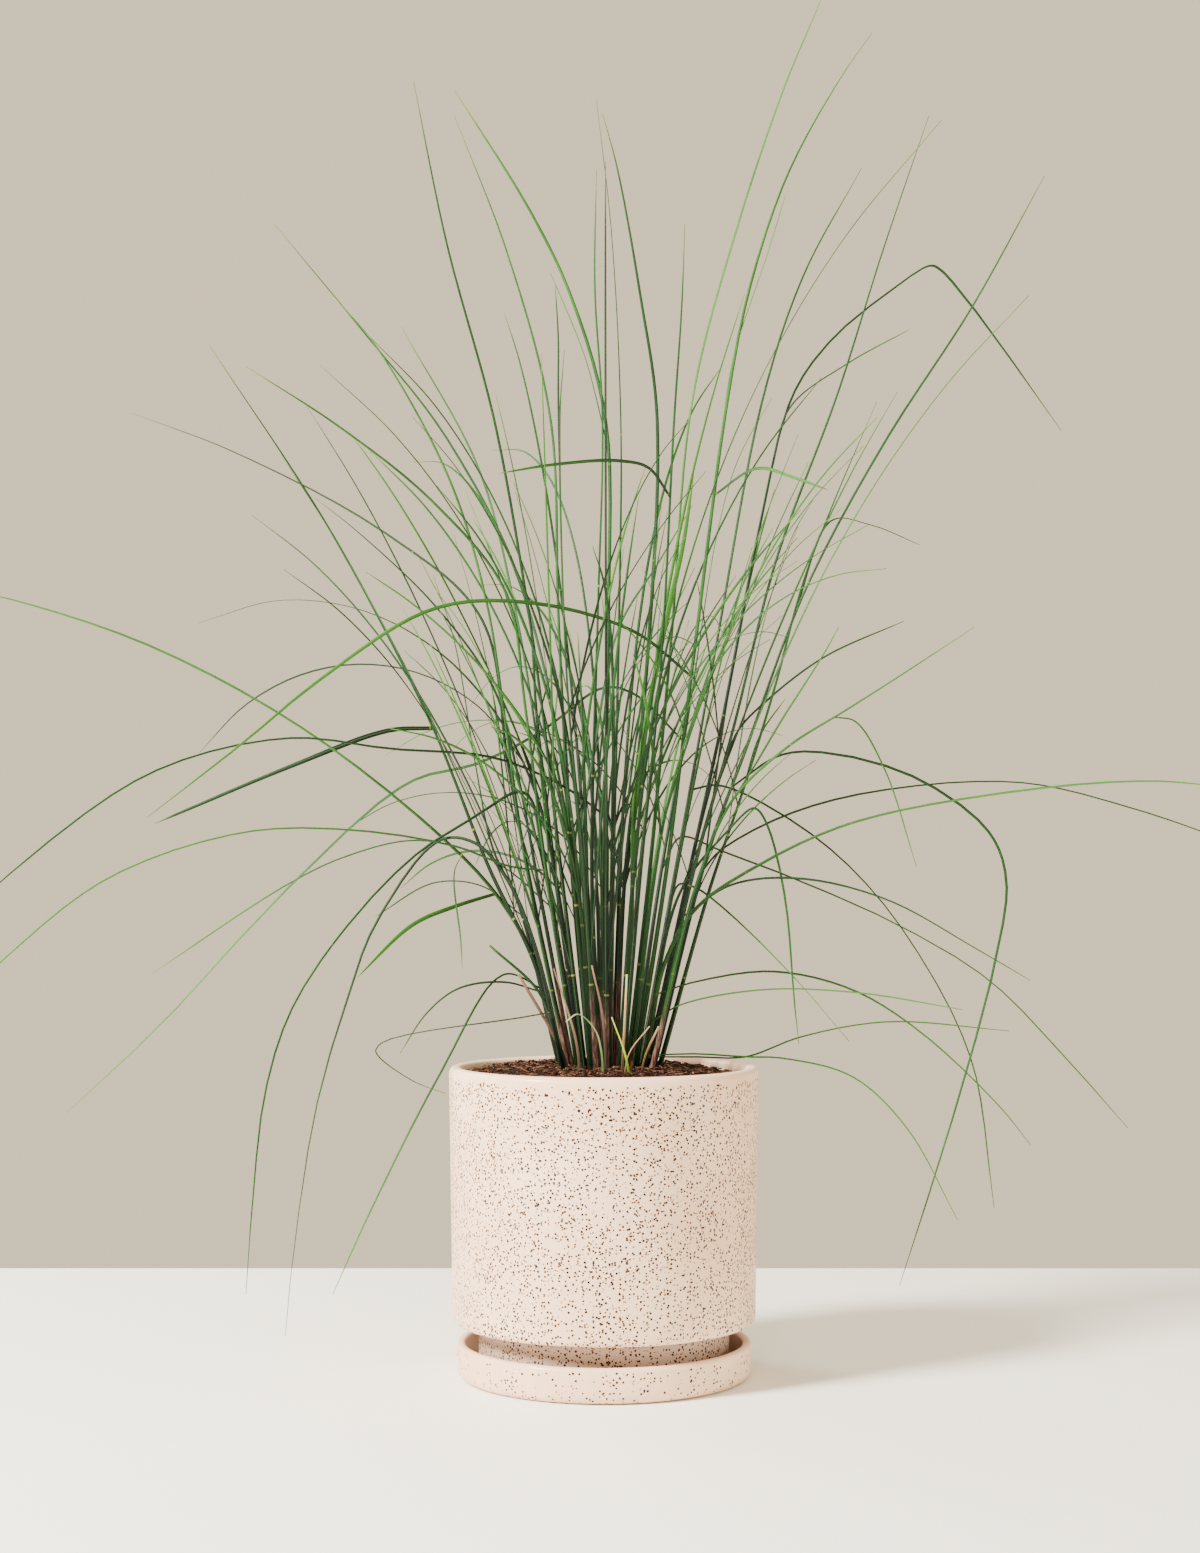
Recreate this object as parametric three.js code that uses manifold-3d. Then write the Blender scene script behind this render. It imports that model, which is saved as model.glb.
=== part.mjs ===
// Potted white cloud muhly grass: a clump of leafy stems in soil, in a cylinder pot on its saucer.
// Millimetres, +Z up. The origin is the middle of the saucer's flat underside, and +Y is behind the clump.
import * as THREE from "three";
import { mergeVertices } from "three/addons/utils/BufferGeometryUtils.js";
import Module from "manifold-3d";

const wasm = await Module();
wasm.setup();

// Driving sizes of the saucer
const SAUCER_RADIUS = 97;
const SAUCER_HEIGHT = 23;
const SAUCER_BASE_RADIUS = 89;
const SAUCER_WALL = 6.6;
const SAUCER_FLOOR = 7;
const SAUCER_DRAFT = 0.6;
const SAUCER_CORNER = 7;
const SAUCER_COVE = 4;

// Driving sizes of the pot
const POT_RIM_RADIUS = 101.5;
const POT_BASE_RADIUS = 99.2;
const POT_TOP = 202.3;
const POT_BODY_BOTTOM = 36;
const POT_WALL = 9;
const POT_FOOT_RADIUS = 82;
const POT_FLOOR = 9;
const POT_LIP_DEPTH = 5.5;
const POT_EDGE = 2.5;
const POT_CHAMFER = 4;
const POT_INNER_CHAMFER = 6;
const DRAIN_RADIUS = 7;
const ROUND_SIDES = 40;

// Clearance between pieces that rest against each other
const GAP = 0.3;

// Driving sizes of the soil
const SOIL_EDGE = 194;
const SOIL_MOUND = 8;
const SOIL_FLATNESS = 4;
const SOIL_TILT = 0.02;
const SOIL_ROUGH = 0.65;
const SOIL_SIDES = 30;
const SOIL_RINGS = 5;

// Driving sizes of the clump
const CLUMP_X = 2;
const CLUMP_APEX = 80;
const CLUMP_SLOPE = 0.25;
const CLUMP_DEPTH = 1.18;
const CROWN_SHARE = 0.3;
const FOOT_LEVEL = 200;
const STEM_END = 182;
const SOIL_EXIT = 214;
const CULM_RADIUS = 1.9;
const FOOT_SPACING = 5.4;
const STEM_WIDTH = 1.9;
const STEM_ROLL = 35;
const LEAF_ROLL = 40;

// Half the thickness of a blade, and the least half of its width, which its tip keeps
const BLADE_HALF = 0.33;
const TIP_HALF = 0.38;

// Cross-sections of a stem and of a leaf, in half widths and half thicknesses
const STEM_SECTION = [[1, 0], [0, 1], [-1, 0], [0, -1]];
const LEAF_SECTION = [[1, -0.6], [0, 1.4], [-1, -0.6]];

// How closely rings follow a blade's curve, and the steps that it is tried in
const RING_ERROR = 1.3;
const SPAN_STEPS = 8;

// Clearances: between blades, of a blade over the pot and the soil, and over the ground
const CLEAR = 0.35;
const POT_CLEAR = 1;
const GROUND_CLEAR = 6;
const NEAR_HEIGHT = 8;
const HOLE_ABOVE = 8;

// How a blade that finds no clear way is moved, for each shift: its root, its tip and its turn
const MOST_SHIFTS = 30;
const ROOT_SHIFT = 4;
const TIP_SHIFT = 6;
const FOOT_SHIFT = 1.5;
const STEM_TURN = 0.09;
const LEAF_TURN = 0.07;

// The point the stems are seen from, level with the clump's lower half and well in front of it
const EYE = new THREE.Vector3(-2.6, -1537, 319.4);

// Stems as seen from the front: the points that each passes, [across, up], the last one its tip.
// back is how far behind the middle its outermost point lies, and wide is a blade's width.
// A leaf leaves its stem at the height called from.
const DRAWN_STEMS = [
  {
    seen: [[-45, 268], [-75, 331], [-114, 428], [-180, 554], [-259, 675]],
    back: 60,
    leaves: [
      {
        from: 425, back: -20, wide: 4, roll: 80,
        seen: [[-142, 422], [-205, 399], [-295, 361]],
      },
      {
        from: 250, back: -40, wide: 1.6,
        seen: [[-65, 257], [-95, 253], [-116, 237], [-134, 210]],
      },
    ],
  },
  {
    seen: [[-41, 262], [-71, 315], [-121, 365], [-203, 427], [-301, 479], [-396, 510], [-430, 516]],
    back: -110,
    leaves: [
      {
        from: 315, back: -90, wide: 3.2, roll: 75,
        seen: [[-97, 307], [-125, 295], [-162, 260]],
      },
      {
        from: 250, back: -90, wide: 1.7,
        seen: [[-66, 262], [-108, 196], [-155, 103], [-178, 52]],
      },
      { from: 340, back: -70, wide: 1.3, seen: [[-98, 330], [-94, 285], [-93, 266]] },
    ],
  },
  {
    seen: [[-48, 320], [-63, 400], [-80, 495], [-141, 550], [-243, 605], [-309, 630]],
    back: 150,
    leaves: [],
  },
  {
    seen: [[-38, 330], [-52, 440], [-64, 512], [-111, 571], [-173, 621], [-235, 661]],
    back: -170,
    leaves: [
      {
        from: 330, back: -120, wide: 1.9,
        seen: [[-62, 333], [-97, 346], [-168, 357], [-238, 355], [-326, 325], [-394, 272], [-424, 242]],
      },
    ],
  },
  {
    seen: [[-31, 320], [-44, 430], [-52, 510], [-102, 612], [-159, 685], [-216, 754]],
    back: 110,
    leaves: [
      {
        from: 300, back: 130, wide: 1.7,
        seen: [[-70, 335], [-121, 350], [-168, 340], [-208, 321], [-296, 263]],
      },
    ],
  },
  {
    seen: [[-53, 345], [-65, 430], [-77, 506], [-101, 586], [-148, 672], [-180, 710]],
    back: -60,
    leaves: [],
  },
  {
    seen: [[-34, 340], [-46, 430], [-57, 495], [-81, 591], [-133, 687]],
    back: 190,
    leaves: [{ from: 480, back: 150, wide: 1.8, seen: [[-68, 521], [-83, 560], [-90, 577]] }],
  },
  {
    seen: [[-27, 320], [-41, 440], [-52, 516], [-72, 626], [-103, 741], [-125, 848]],
    back: -120,
    leaves: [],
  },
  {
    seen: [[-21, 330], [-30, 500], [-35, 626], [-63, 734], [-98, 825]],
    back: 70,
    leaves: [],
  },
  {
    seen: [[0, 330], [3, 500], [1, 626], [-22, 708], [-49, 764], [-98, 842]],
    back: -40,
    wide: 2.6,
    leaves: [{ from: 600, back: 10, wide: 1.8, seen: [[-5, 640], [-13, 669], [-35, 722]] }],
  },
  {
    seen: [[-13, 330], [-24, 450], [-29, 626], [-26, 672]],
    back: -190,
    leaves: [{ from: 560, back: -150, wide: 1.4, seen: [[-30, 644], [-30, 680], [-32, 714]] }],
  },
  {
    seen: [[6, 330], [10, 500], [11, 626], [5, 748], [-5, 836]],
    back: 60,
    leaves: [
      {
        from: 362, back: -110, wide: 2.3,
        seen: [[-24, 384], [-71, 404], [-140, 410], [-208, 417], [-298, 394], [-396, 323], [-424, 296]],
      },
    ],
  },
  {
    seen: [[-8, 330], [-4, 500], [-1, 626], [-6, 711], [-5, 790]],
    back: -90,
    leaves: [],
  },
  {
    seen: [[14, 330], [27, 450], [35, 626], [24, 707], [9, 790], [-1, 827]],
    back: -10,
    wide: 2.6,
    leaves: [],
  },
  {
    seen: [[24, 330], [37, 460], [46, 626], [51, 700], [53, 754]],
    back: -150,
    leaves: [
      {
        from: 560, back: -190, wide: 2.4, roll: 60,
        seen: [[30, 594], [11, 599], [-30, 597], [-68, 591]],
      },
    ],
  },
  {
    seen: [[30, 330], [44, 480], [58, 639], [88, 754], [119, 846], [142, 901], [150, 925]],
    back: 0,
    leaves: [],
  },
  {
    seen: [[41, 330], [60, 480], [81, 639], [96, 714], [121, 788], [155, 850], [176, 880]],
    back: -80,
    wide: 2.4,
    leaves: [
      { from: 600, back: -60, wide: 1.7, seen: [[85, 667], [108, 737], [119, 773]] },
      { from: 570, back: -70, wide: 2.6, roll: 60, seen: [[100, 594], [125, 588], [147, 580]] },
      {
        from: 455, back: -160, wide: 2.8, roll: 50,
        seen: [[20, 487], [-48, 506], [-112, 502], [-187, 455], [-238, 413], [-300, 365]],
      },
    ],
  },
  {
    seen: [[47, 330], [74, 480], [104, 639], [131, 721], [169, 791]],
    back: 130,
    leaves: [
      {
        from: 385, back: 90, wide: 2.3,
        seen: [[76, 386], [120, 365], [163, 331], [203, 281], [241, 206], [256, 109]],
      },
      {
        from: 305, back: -60, wide: 2,
        seen: [[49, 321], [60, 319], [79, 305], [125, 260], [161, 218]],
      },
    ],
  },
  {
    seen: [[60, 335], [84, 420], [113, 534], [153, 642], [183, 737], [213, 825]],
    back: -60,
    leaves: [
      { from: 395, back: 60, wide: 1.8, seen: [[88, 422], [106, 441], [144, 470], [197, 494]] },
      {
        from: 300, back: -70, wide: 1.8,
        seen: [[84, 321], [129, 325], [186, 311], [244, 279], [280, 258]],
      },
    ],
  },
  {
    seen: [[66, 335], [95, 415], [132, 514], [184, 611], [241, 699], [289, 786]],
    back: 90,
    leaves: [
      {
        from: 330, back: 150, wide: 2,
        seen: [[76, 343], [118, 366], [177, 382], [273, 388], [347, 371], [420, 346]],
      },
      {
        from: 385, back: 60, wide: 2.2,
        seen: [
          [116, 406], [150, 407], [207, 390], [253, 355],
          [264, 324], [257, 272], [230, 172], [194, 58],
        ],
      },
      { from: 500, back: 130, wide: 1.6, seen: [[148, 559], [175, 557], [207, 544]] },
    ],
  },
  {
    seen: [
      [54, 320], [78, 430], [103, 560], [123, 640], [148, 677],
      [190, 712], [214, 727], [220, 725], [241, 701], [300, 619],
    ],
    back: 170,
    wide: 2.6,
    leaves: [{ from: 600, back: 60, wide: 1.6, seen: [[122, 634], [160, 663], [200, 685]] }],
  },
  {
    seen: [[18, 300], [20, 375], [26, 416], [36, 470], [44, 508], [52, 544], [59, 592]],
    back: -70,
    wide: 5,
    roll: 0,
    leaves: [],
  },
  {
    seen: [[-42, 315], [-57, 395], [-72, 449], [-110, 503], [-161, 552], [-190, 575]],
    back: 40,
    leaves: [],
  },
  {
    seen: [
      [-31, 290], [-40, 340], [-48, 377], [-56, 382], [-84, 366], [-123, 341],
      [-166, 297], [-204, 241], [-222, 186], [-231, 107], [-235, 52],
    ],
    back: -80,
    leaves: [],
  },
  {
    seen: [
      [-44, 276], [-62, 322], [-84, 348], [-108, 350], [-150, 295],
      [-168, 247], [-189, 174], [-205, 69], [-209, 25],
    ],
    back: 120,
    leaves: [
      {
        from: 240, back: 130, wide: 1.3,
        seen: [[-150, 212], [-127, 193], [-104, 184]],
      },
    ],
  },
  {
    seen: [[40, 270], [60, 305], [100, 333], [161, 361], [261, 381], [357, 389], [418, 384]],
    back: -60,
    leaves: [
      {
        from: 232, back: -80, wide: 1.5,
        seen: [[50, 242], [104, 252], [167, 250], [235, 239]],
      },
      {
        from: 250, back: 80, wide: 1.7,
        seen: [[59, 257], [111, 264], [163, 252], [208, 224], [260, 175], [280, 150]],
      },
      {
        from: 209, back: 60, wide: 1.5,
        seen: [[60, 208], [93, 208], [129, 221], [186, 231], [266, 225]],
      },
      {
        from: 210, back: 30, wide: 1.4,
        seen: [[60, 210], [93, 208], [118, 207], [163, 195], [199, 161], [232, 101]],
      },
    ],
  },
  {
    seen: [[36, 320], [55, 430], [74, 550], [88, 600], [110, 640]],
    back: 220,
    leaves: [
      {
        from: 330, back: 150, wide: 2.1,
        seen: [[50, 352], [77, 343], [127, 324], [194, 294], [253, 258], [305, 205], [344, 161]],
      },
      {
        from: 420, back: 60, wide: 2.4,
        seen: [
          [20, 446], [-1, 450], [-40, 422], [-81, 401],
          [-128, 388], [-205, 321], [-292, 228], [-353, 171],
        ],
      },
    ],
  },
  {
    seen: [
      [44, 300], [55, 325], [80, 355], [97, 371], [101, 370],
      [108, 358], [119, 311], [125, 243], [128, 216],
    ],
    back: -30,
    leaves: [],
  },
  {
    seen: [[61, 322], [84, 376], [120, 411], [158, 435], [188, 454], [243, 490]],
    back: -100,
    leaves: [
      { from: 425, back: -110, wide: 1.3, seen: [[165, 428], [184, 397], [205, 333]] },
      {
        from: 378, back: -90, wide: 1.6,
        seen: [[100, 401], [116, 428], [144, 472], [154, 490]],
      },
    ],
  },
  {
    seen: [[-56, 308], [-73, 345], [-84, 398], [-98, 480], [-112, 524]],
    back: 30,
    leaves: [{ from: 300, back: 60, wide: 1.6, seen: [[-80, 320], [-112, 322], [-150, 300]] }],
  },
  {
    seen: [[70, 320], [92, 385], [112, 450], [131, 520], [150, 570], [179, 638]],
    back: -20,
    leaves: [{ from: 380, back: 30, wide: 1.5, seen: [[102, 418], [119, 443]] }],
  },
  {
    seen: [[-16, 330], [-5, 418], [10, 490], [35, 531], [58, 570]],
    back: 40,
    leaves: [],
  },
];

// Stems that lean away from or towards the front stand by rule: how many, and their crowns' height
const RULED_STEMS = 15;
const RULED_CROWN = 320;
const SEED = 20411;
const INNER_SEED = 7331;
const DEGREE = Math.PI / 180;

// How blades bend: the reach that counts as wide, how late an upright one bends, and an arch's steps
const WIDE_REACH = 200;
const LATE_BEND = 1.6;
const LEAF_POWER = 0.9;
const ARCH_POINTS = 6;
const ARCH_STEPS = 5;

// What the draws for a ruled stem range over, in millimetres, degrees, and shares of the clump's disc.
// A taller one droops less, and those in front of the pot droop less than those behind it.
const STEM_DRAWS = {
  azimuth: [-45, 45],
  outward: [0.3, 1],
  length: [260, 580],
  droopBehind: [90, 130],
  droopInFront: [64, 92],
  tallLiftBehind: 45,
  tallLiftInFront: 25,
  power: [1.1, 1.7],
  twist: [-0.35, 0.35],
  wide: [1.6, 2.2],
  roll: [-40, 40],
};

// The same for the two leaves of a ruled stem, and for the one small leaf by rule on a drawn stem
const LEAF_DRAWS = {
  from: [275, 420],
  aside: [0.2, 0.6],
  length: [170, 330],
  lean: [14, 30],
  droopBehind: [95, 150],
  droopInFront: [60, 95],
  wide: [1.4, 2.3],
  roll: [-45, 45],
};
const SMALL_LEAF_DRAWS = {
  azimuth: [0, 360],
  lean: [8, 22],
  droop: [24, 66],
  lowest: 280,
  highest: 440,
  length: [90, 210],
  wide: [1.2, 1.7],
};

// The same for the one inner leaf on every stem, which stands close along its culm. Its lean and
// droop are added to the culm's own lean.
const INNER_LEAF_DRAWS = {
  aside: [-1.3, 1.3],
  lean: [3, 9],
  droop: [14, 46],
  lowest: 238,
  highest: 400,
  length: [180, 400],
  wide: [1.5, 2.4],
  roll: [-60, 60],
};

// Short pieces at the foot of the clump, drawn as the stems are, but each with its foot's own place.
// They end at a higher level in the soil than the stems and lose part of their radius on the way up.
const SHORT_END = 185;
const SHORT_TAPER = 0.45;
const SHORT_PIECES = [
  {
    name: "cut_culm_brown", radius: 1.7, colour: 0x6b4636,
    foot: [-20, -20], back: -44, seen: [[-29, 214], [-56, 262]],
  },
  {
    name: "cut_culm_dark", radius: 1.5, colour: 0x26331f,
    foot: [-26, -8], back: -30, seen: [[-32, 222], [-43, 251], [-75, 281]],
  },
  {
    name: "dry_sheath_left", radius: 1.3, colour: 0x8a5a44,
    foot: [-15, -36], back: -54, seen: [[-18, 217], [-33, 266]],
  },
  {
    name: "dry_sheath_middle", radius: 1.3, colour: 0x7a4f3c,
    foot: [2, -40], back: -58, seen: [[-1, 235], [-8, 268]],
  },
  {
    name: "dry_sheath_right", radius: 1.2, colour: 0xb0805c,
    foot: [22, -33], back: -46, seen: [[27, 208], [36, 228]],
  },
  {
    name: "dry_straw", radius: 1.1, colour: 0xd09a78,
    foot: [11, -38], back: -60, seen: [[13, 219], [15, 262]],
  },
  {
    name: "forked_straw", radius: 0.9, colour: 0xe0b890,
    foot: [12, -46], back: -54, seen: [[16, 209], [30, 228]],
  },
  {
    name: "young_blade", radius: 1.0, colour: 0xa6d21e,
    foot: [18, -47], back: -66, seen: [[14, 209], [5, 234]],
  },
  {
    name: "curled_blade", radius: 1.0, colour: 0x9dbb8c,
    foot: [0, -46], back: -64, seen: [[-2, 213], [-6, 226], [-17, 236], [-25, 231]],
  },
];

// Colours and roughness values
const GREENS = [0x2f5a2a, 0x3d6b2e, 0x2a5034, 0x4c7a35, 0x345f33];
const GLAZE = 0xecdfd4;
const DARK_SOIL = 0x2a1a14;
const GLOSSY = 0.3;
const SATIN = 0.55;
const DULL = 0.95;

// Repeatable draws between 0 and 1, in one row for the stems and another for the inner leaves
const drawn = { stems: SEED, innerLeaves: INNER_SEED };
function draw(row = "stems") {
  drawn[row] = (drawn[row] * 16807) % 2147483647;
  return drawn[row] / 2147483647;
}

function between([low, high], row) {
  return low + (high - low) * draw(row);
}

// A closed geometry as a solid, with its shared corners merged and its folded triangles dropped
function solidOf(geometry) {
  const bare = new THREE.BufferGeometry();
  bare.setAttribute("position", geometry.getAttribute("position"));
  bare.setIndex(geometry.getIndex());
  const merged = mergeVertices(bare, 1e-3);
  const corners = merged.getIndex().array;
  const kept = [];
  for (let i = 0; i < corners.length; i += 3) {
    const [a, b, c] = [corners[i], corners[i + 1], corners[i + 2]];
    if (a !== b && b !== c && c !== a) kept.push(a, b, c);
  }
  return new wasm.Manifold(
    new wasm.Mesh({
      numProp: 3,
      vertProperties: merged.getAttribute("position").array,
      triVerts: new Uint32Array(kept),
    }),
  );
}

// A solid as a named mesh of one colour
function meshOf(name, solid, colour, roughness) {
  const faces = solid.getMesh();
  const geometry = new THREE.BufferGeometry();
  geometry.setAttribute("position", new THREE.BufferAttribute(faces.vertProperties, 3));
  geometry.setIndex(new THREE.BufferAttribute(faces.triVerts, 1));
  const flat = geometry.toNonIndexed();
  flat.computeVertexNormals();
  const material = new THREE.MeshStandardMaterial({ color: colour, roughness, metalness: 0 });
  const mesh = new THREE.Mesh(flat, material);
  mesh.name = name;
  return mesh;
}

// A turned solid: its profile runs from the axis back to the axis, or closes on itself
function turned(path, sides) {
  const profile = path.extractPoints(3).shape;
  return solidOf(new THREE.LatheGeometry(profile, sides).rotateX(Math.PI / 2));
}

// The saucer: a floor and a nearly upright wall with a rounded lip
function makeSaucer() {
  const lip = SAUCER_WALL / 2;
  const lipLevel = SAUCER_HEIGHT - lip;
  const inner = SAUCER_RADIUS - SAUCER_WALL;
  const outerLow = SAUCER_RADIUS - SAUCER_DRAFT;
  const innerLow = inner - SAUCER_DRAFT;
  const profile = new THREE.Shape();
  profile.moveTo(0, 0);
  profile.lineTo(SAUCER_BASE_RADIUS, 0);
  profile.quadraticCurveTo(outerLow, 0, outerLow, SAUCER_CORNER);
  profile.lineTo(SAUCER_RADIUS, lipLevel);
  profile.quadraticCurveTo(SAUCER_RADIUS, SAUCER_HEIGHT, SAUCER_RADIUS - lip, SAUCER_HEIGHT);
  profile.quadraticCurveTo(inner, SAUCER_HEIGHT, inner, lipLevel);
  profile.lineTo(innerLow, SAUCER_FLOOR + SAUCER_COVE);
  profile.quadraticCurveTo(innerLow, SAUCER_FLOOR, innerLow - SAUCER_COVE, SAUCER_FLOOR);
  profile.lineTo(0, SAUCER_FLOOR);
  return turned(profile, ROUND_SIDES);
}

// The pot: an even wall with a rounded lip, a narrower foot inside the saucer, and one drain hole
function makePot() {
  const rim = POT_RIM_RADIUS;
  const lip = POT_WALL / 2;
  const lipLevel = POT_TOP - POT_LIP_DEPTH;
  const outerBase = POT_BASE_RADIUS;
  const innerBase = POT_BASE_RADIUS - POT_WALL;
  const foot = POT_FOOT_RADIUS;
  const well = POT_FOOT_RADIUS - POT_WALL;
  const base = SAUCER_FLOOR + GAP;
  const floor = base + POT_FLOOR;
  const ledge = POT_BODY_BOTTOM + POT_WALL;
  const profile = new THREE.Shape();
  profile.moveTo(DRAIN_RADIUS, base);
  profile.lineTo(foot - POT_EDGE, base);
  profile.lineTo(foot, base + POT_EDGE);
  profile.lineTo(foot, POT_BODY_BOTTOM - POT_CHAMFER);
  profile.lineTo(foot + POT_CHAMFER, POT_BODY_BOTTOM);
  profile.lineTo(outerBase - POT_EDGE, POT_BODY_BOTTOM);
  profile.quadraticCurveTo(outerBase, POT_BODY_BOTTOM, outerBase, POT_BODY_BOTTOM + POT_EDGE);
  profile.lineTo(rim, lipLevel);
  profile.quadraticCurveTo(rim, POT_TOP, rim - lip, POT_TOP);
  profile.quadraticCurveTo(rim - POT_WALL, POT_TOP, rim - POT_WALL, lipLevel);
  profile.lineTo(innerBase, ledge);
  profile.lineTo(well, ledge - POT_INNER_CHAMFER);
  profile.lineTo(well, floor + POT_CHAMFER);
  profile.lineTo(well - POT_CHAMFER, floor);
  profile.lineTo(DRAIN_RADIUS, floor);
  profile.lineTo(DRAIN_RADIUS, base);
  return turned(profile, ROUND_SIDES);
}

// The height of the soil over a place: mounded round the clump, with clods and hollows
function soilLevel(x, y) {
  const out = Math.hypot(x - CLUMP_X, y) / (POT_RIM_RADIUS - POT_WALL);
  const mound = SOIL_MOUND * Math.max(0, 1 - Math.pow(out, SOIL_FLATNESS)) - SOIL_TILT * x;
  const across = Math.sin(x * 0.31 + 1.7 * Math.sin(y * 0.23));
  const along = Math.sin(y * 0.37 + 1.3 * Math.sin(x * 0.29));
  return SOIL_EDGE + mound + SOIL_ROUGH * (across + along);
}

// The soil fills the pot and has one plain hole for each stem
function makeSoil() {
  const flats = Math.cos(Math.PI / ROUND_SIDES);
  const top = (POT_RIM_RADIUS - POT_WALL) * flats - GAP;
  const innerBase = (POT_BASE_RADIUS - POT_WALL) * flats - GAP;
  const well = (POT_FOOT_RADIUS - POT_WALL) * flats - GAP;
  const ledge = POT_BODY_BOTTOM + POT_WALL + GAP;
  const floor = SAUCER_FLOOR + GAP + POT_FLOOR + GAP;
  const points = [
    new THREE.Vector2(0, floor),
    new THREE.Vector2(well - POT_CHAMFER, floor),
    new THREE.Vector2(well, floor + POT_CHAMFER),
    new THREE.Vector2(well, ledge - POT_INNER_CHAMFER),
    new THREE.Vector2(innerBase, ledge),
  ];
  for (let i = 0; i <= SOIL_RINGS; i++) {
    points.push(new THREE.Vector2(top * (1 - i / SOIL_RINGS), SOIL_EDGE));
  }
  const geometry = new THREE.LatheGeometry(points, SOIL_SIDES).rotateX(Math.PI / 2);
  const place = geometry.getAttribute("position");
  for (let i = 0; i < place.count; i++) {
    if (place.getZ(i) > ledge + 1) place.setZ(i, soilLevel(place.getX(i), place.getY(i)));
  }
  let solid = solidOf(geometry);
  for (const hole of holes) solid = solid.subtract(hole);
  return solid;
}

// A point seen from the front at [across, up], moved to its depth along the line from the eye
function atDepth(across, up, depth) {
  const reach = (depth - EYE.y) / -EYE.y;
  return new THREE.Vector3(EYE.x + (across - EYE.x) * reach, depth, EYE.z + (up - EYE.z) * reach);
}

// How far along its way out each seen point is, from 0 at the root to 1 at the outermost.
// A blade that reaches wide goes back as it goes aside, and an upright one bends back late.
function wayOut(seen) {
  const lengths = [0];
  for (let i = 1; i < seen.length; i++) {
    const [across, up] = [seen[i][0] - seen[i - 1][0], seen[i][1] - seen[i - 1][1]];
    lengths.push(lengths[i - 1] + Math.hypot(across, up));
  }
  const whole = lengths[lengths.length - 1];
  const aside = seen.map((point) => Math.abs(point[0] - seen[0][0]));
  const widest = Math.max(...aside);
  const share = Math.min(1, widest / WIDE_REACH);
  return seen.map((_, i) => {
    return share * (aside[i] / widest) + (1 - share) * Math.pow(lengths[i] / whole, LATE_BEND);
  });
}

// Every stem stands on a line from one point below the soil, so no two culms cross at their feet
function culmPoint(crown, level) {
  const share = (level - CLUMP_APEX) / (crown.z - CLUMP_APEX);
  const x = CLUMP_X + (crown.x - CLUMP_X) * share;
  return new THREE.Vector3(x, crown.y * share, level);
}

// How far a place lies from the straight line between two others
function offLine(place, from, to) {
  const way = to.clone().sub(from);
  const share = THREE.MathUtils.clamp(place.clone().sub(from).dot(way) / way.lengthSq(), 0, 1);
  return place.distanceTo(from.clone().addScaledVector(way, share));
}

// The places that a line needs to stay within the ring error of all of them
function neededPlaces(places, first, last) {
  let [worst, most] = [-1, RING_ERROR];
  for (let i = first + 1; i < last; i++) {
    const off = offLine(places[i], places[first], places[last]);
    if (off > most) [worst, most] = [i, off];
  }
  if (worst < 0) return [places[first]];
  return [...neededPlaces(places, first, worst), ...neededPlaces(places, worst, last)];
}

// The rings of a blade: places on a smooth curve through its points, closer where it bends.
// The first two points are always rings, with a straight way between them.
function ringsAlong(points) {
  const curve = new THREE.CatmullRomCurve3(points, false, "centripetal");
  const spans = points.length - 1;
  const places = [];
  for (let i = 1; i < spans; i++) {
    for (let k = 0; k < SPAN_STEPS; k++) places.push(curve.getPoint((i + k / SPAN_STEPS) / spans));
  }
  places.push(points[spans].clone());
  return [points[0].clone(), ...neededPlaces(places, 0, places.length - 1), places[places.length - 1]];
}

// Half the width and half the thickness of a stem at each ring: round at the foot, flat at the tip
function stemSizes(places, wide) {
  const lengths = [0];
  for (let i = 1; i < places.length; i++) {
    lengths.push(lengths[i - 1] + places[i].distanceTo(places[i - 1]));
  }
  const whole = lengths[lengths.length - 1];
  return lengths.map((length) => {
    const s = length / whole;
    const round = CULM_RADIUS * Math.max(0, 1 - 1.25 * s);
    const blade = 0.5 * wide * Math.sqrt(Math.max(0, 1 - Math.pow(s, 3))) * Math.min(1, 3 * s);
    return [Math.max(round, blade, TIP_HALF), Math.max(round, BLADE_HALF)];
  });
}

// Half the width and half the thickness of a leaf: narrow root, widest at a third, slim tip
function leafSizes(places, wide) {
  return places.map((_, i) => {
    const s = i / (places.length - 1);
    const shape = Math.min(1, 0.75 + 0.9 * s) * Math.sqrt(Math.max(0, 1 - Math.pow(s, 2.5)));
    return [Math.max(0.5 * wide * shape, TIP_HALF), BLADE_HALF];
  });
}

// The direction across a blade, level and square to its way out, then rolled about the blade
function acrossOf(places, i, level, roll) {
  const ahead = places[Math.min(i + 1, places.length - 1)];
  const along = ahead.clone().sub(places[Math.max(i - 1, 0)]).normalize();
  const flat = level.clone().addScaledVector(along, -level.dot(along)).normalize();
  const upright = along.clone().cross(flat);
  const across = flat.multiplyScalar(Math.cos(roll)).addScaledVector(upright, Math.sin(roll));
  return { across, normal: along.clone().cross(across) };
}

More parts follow.
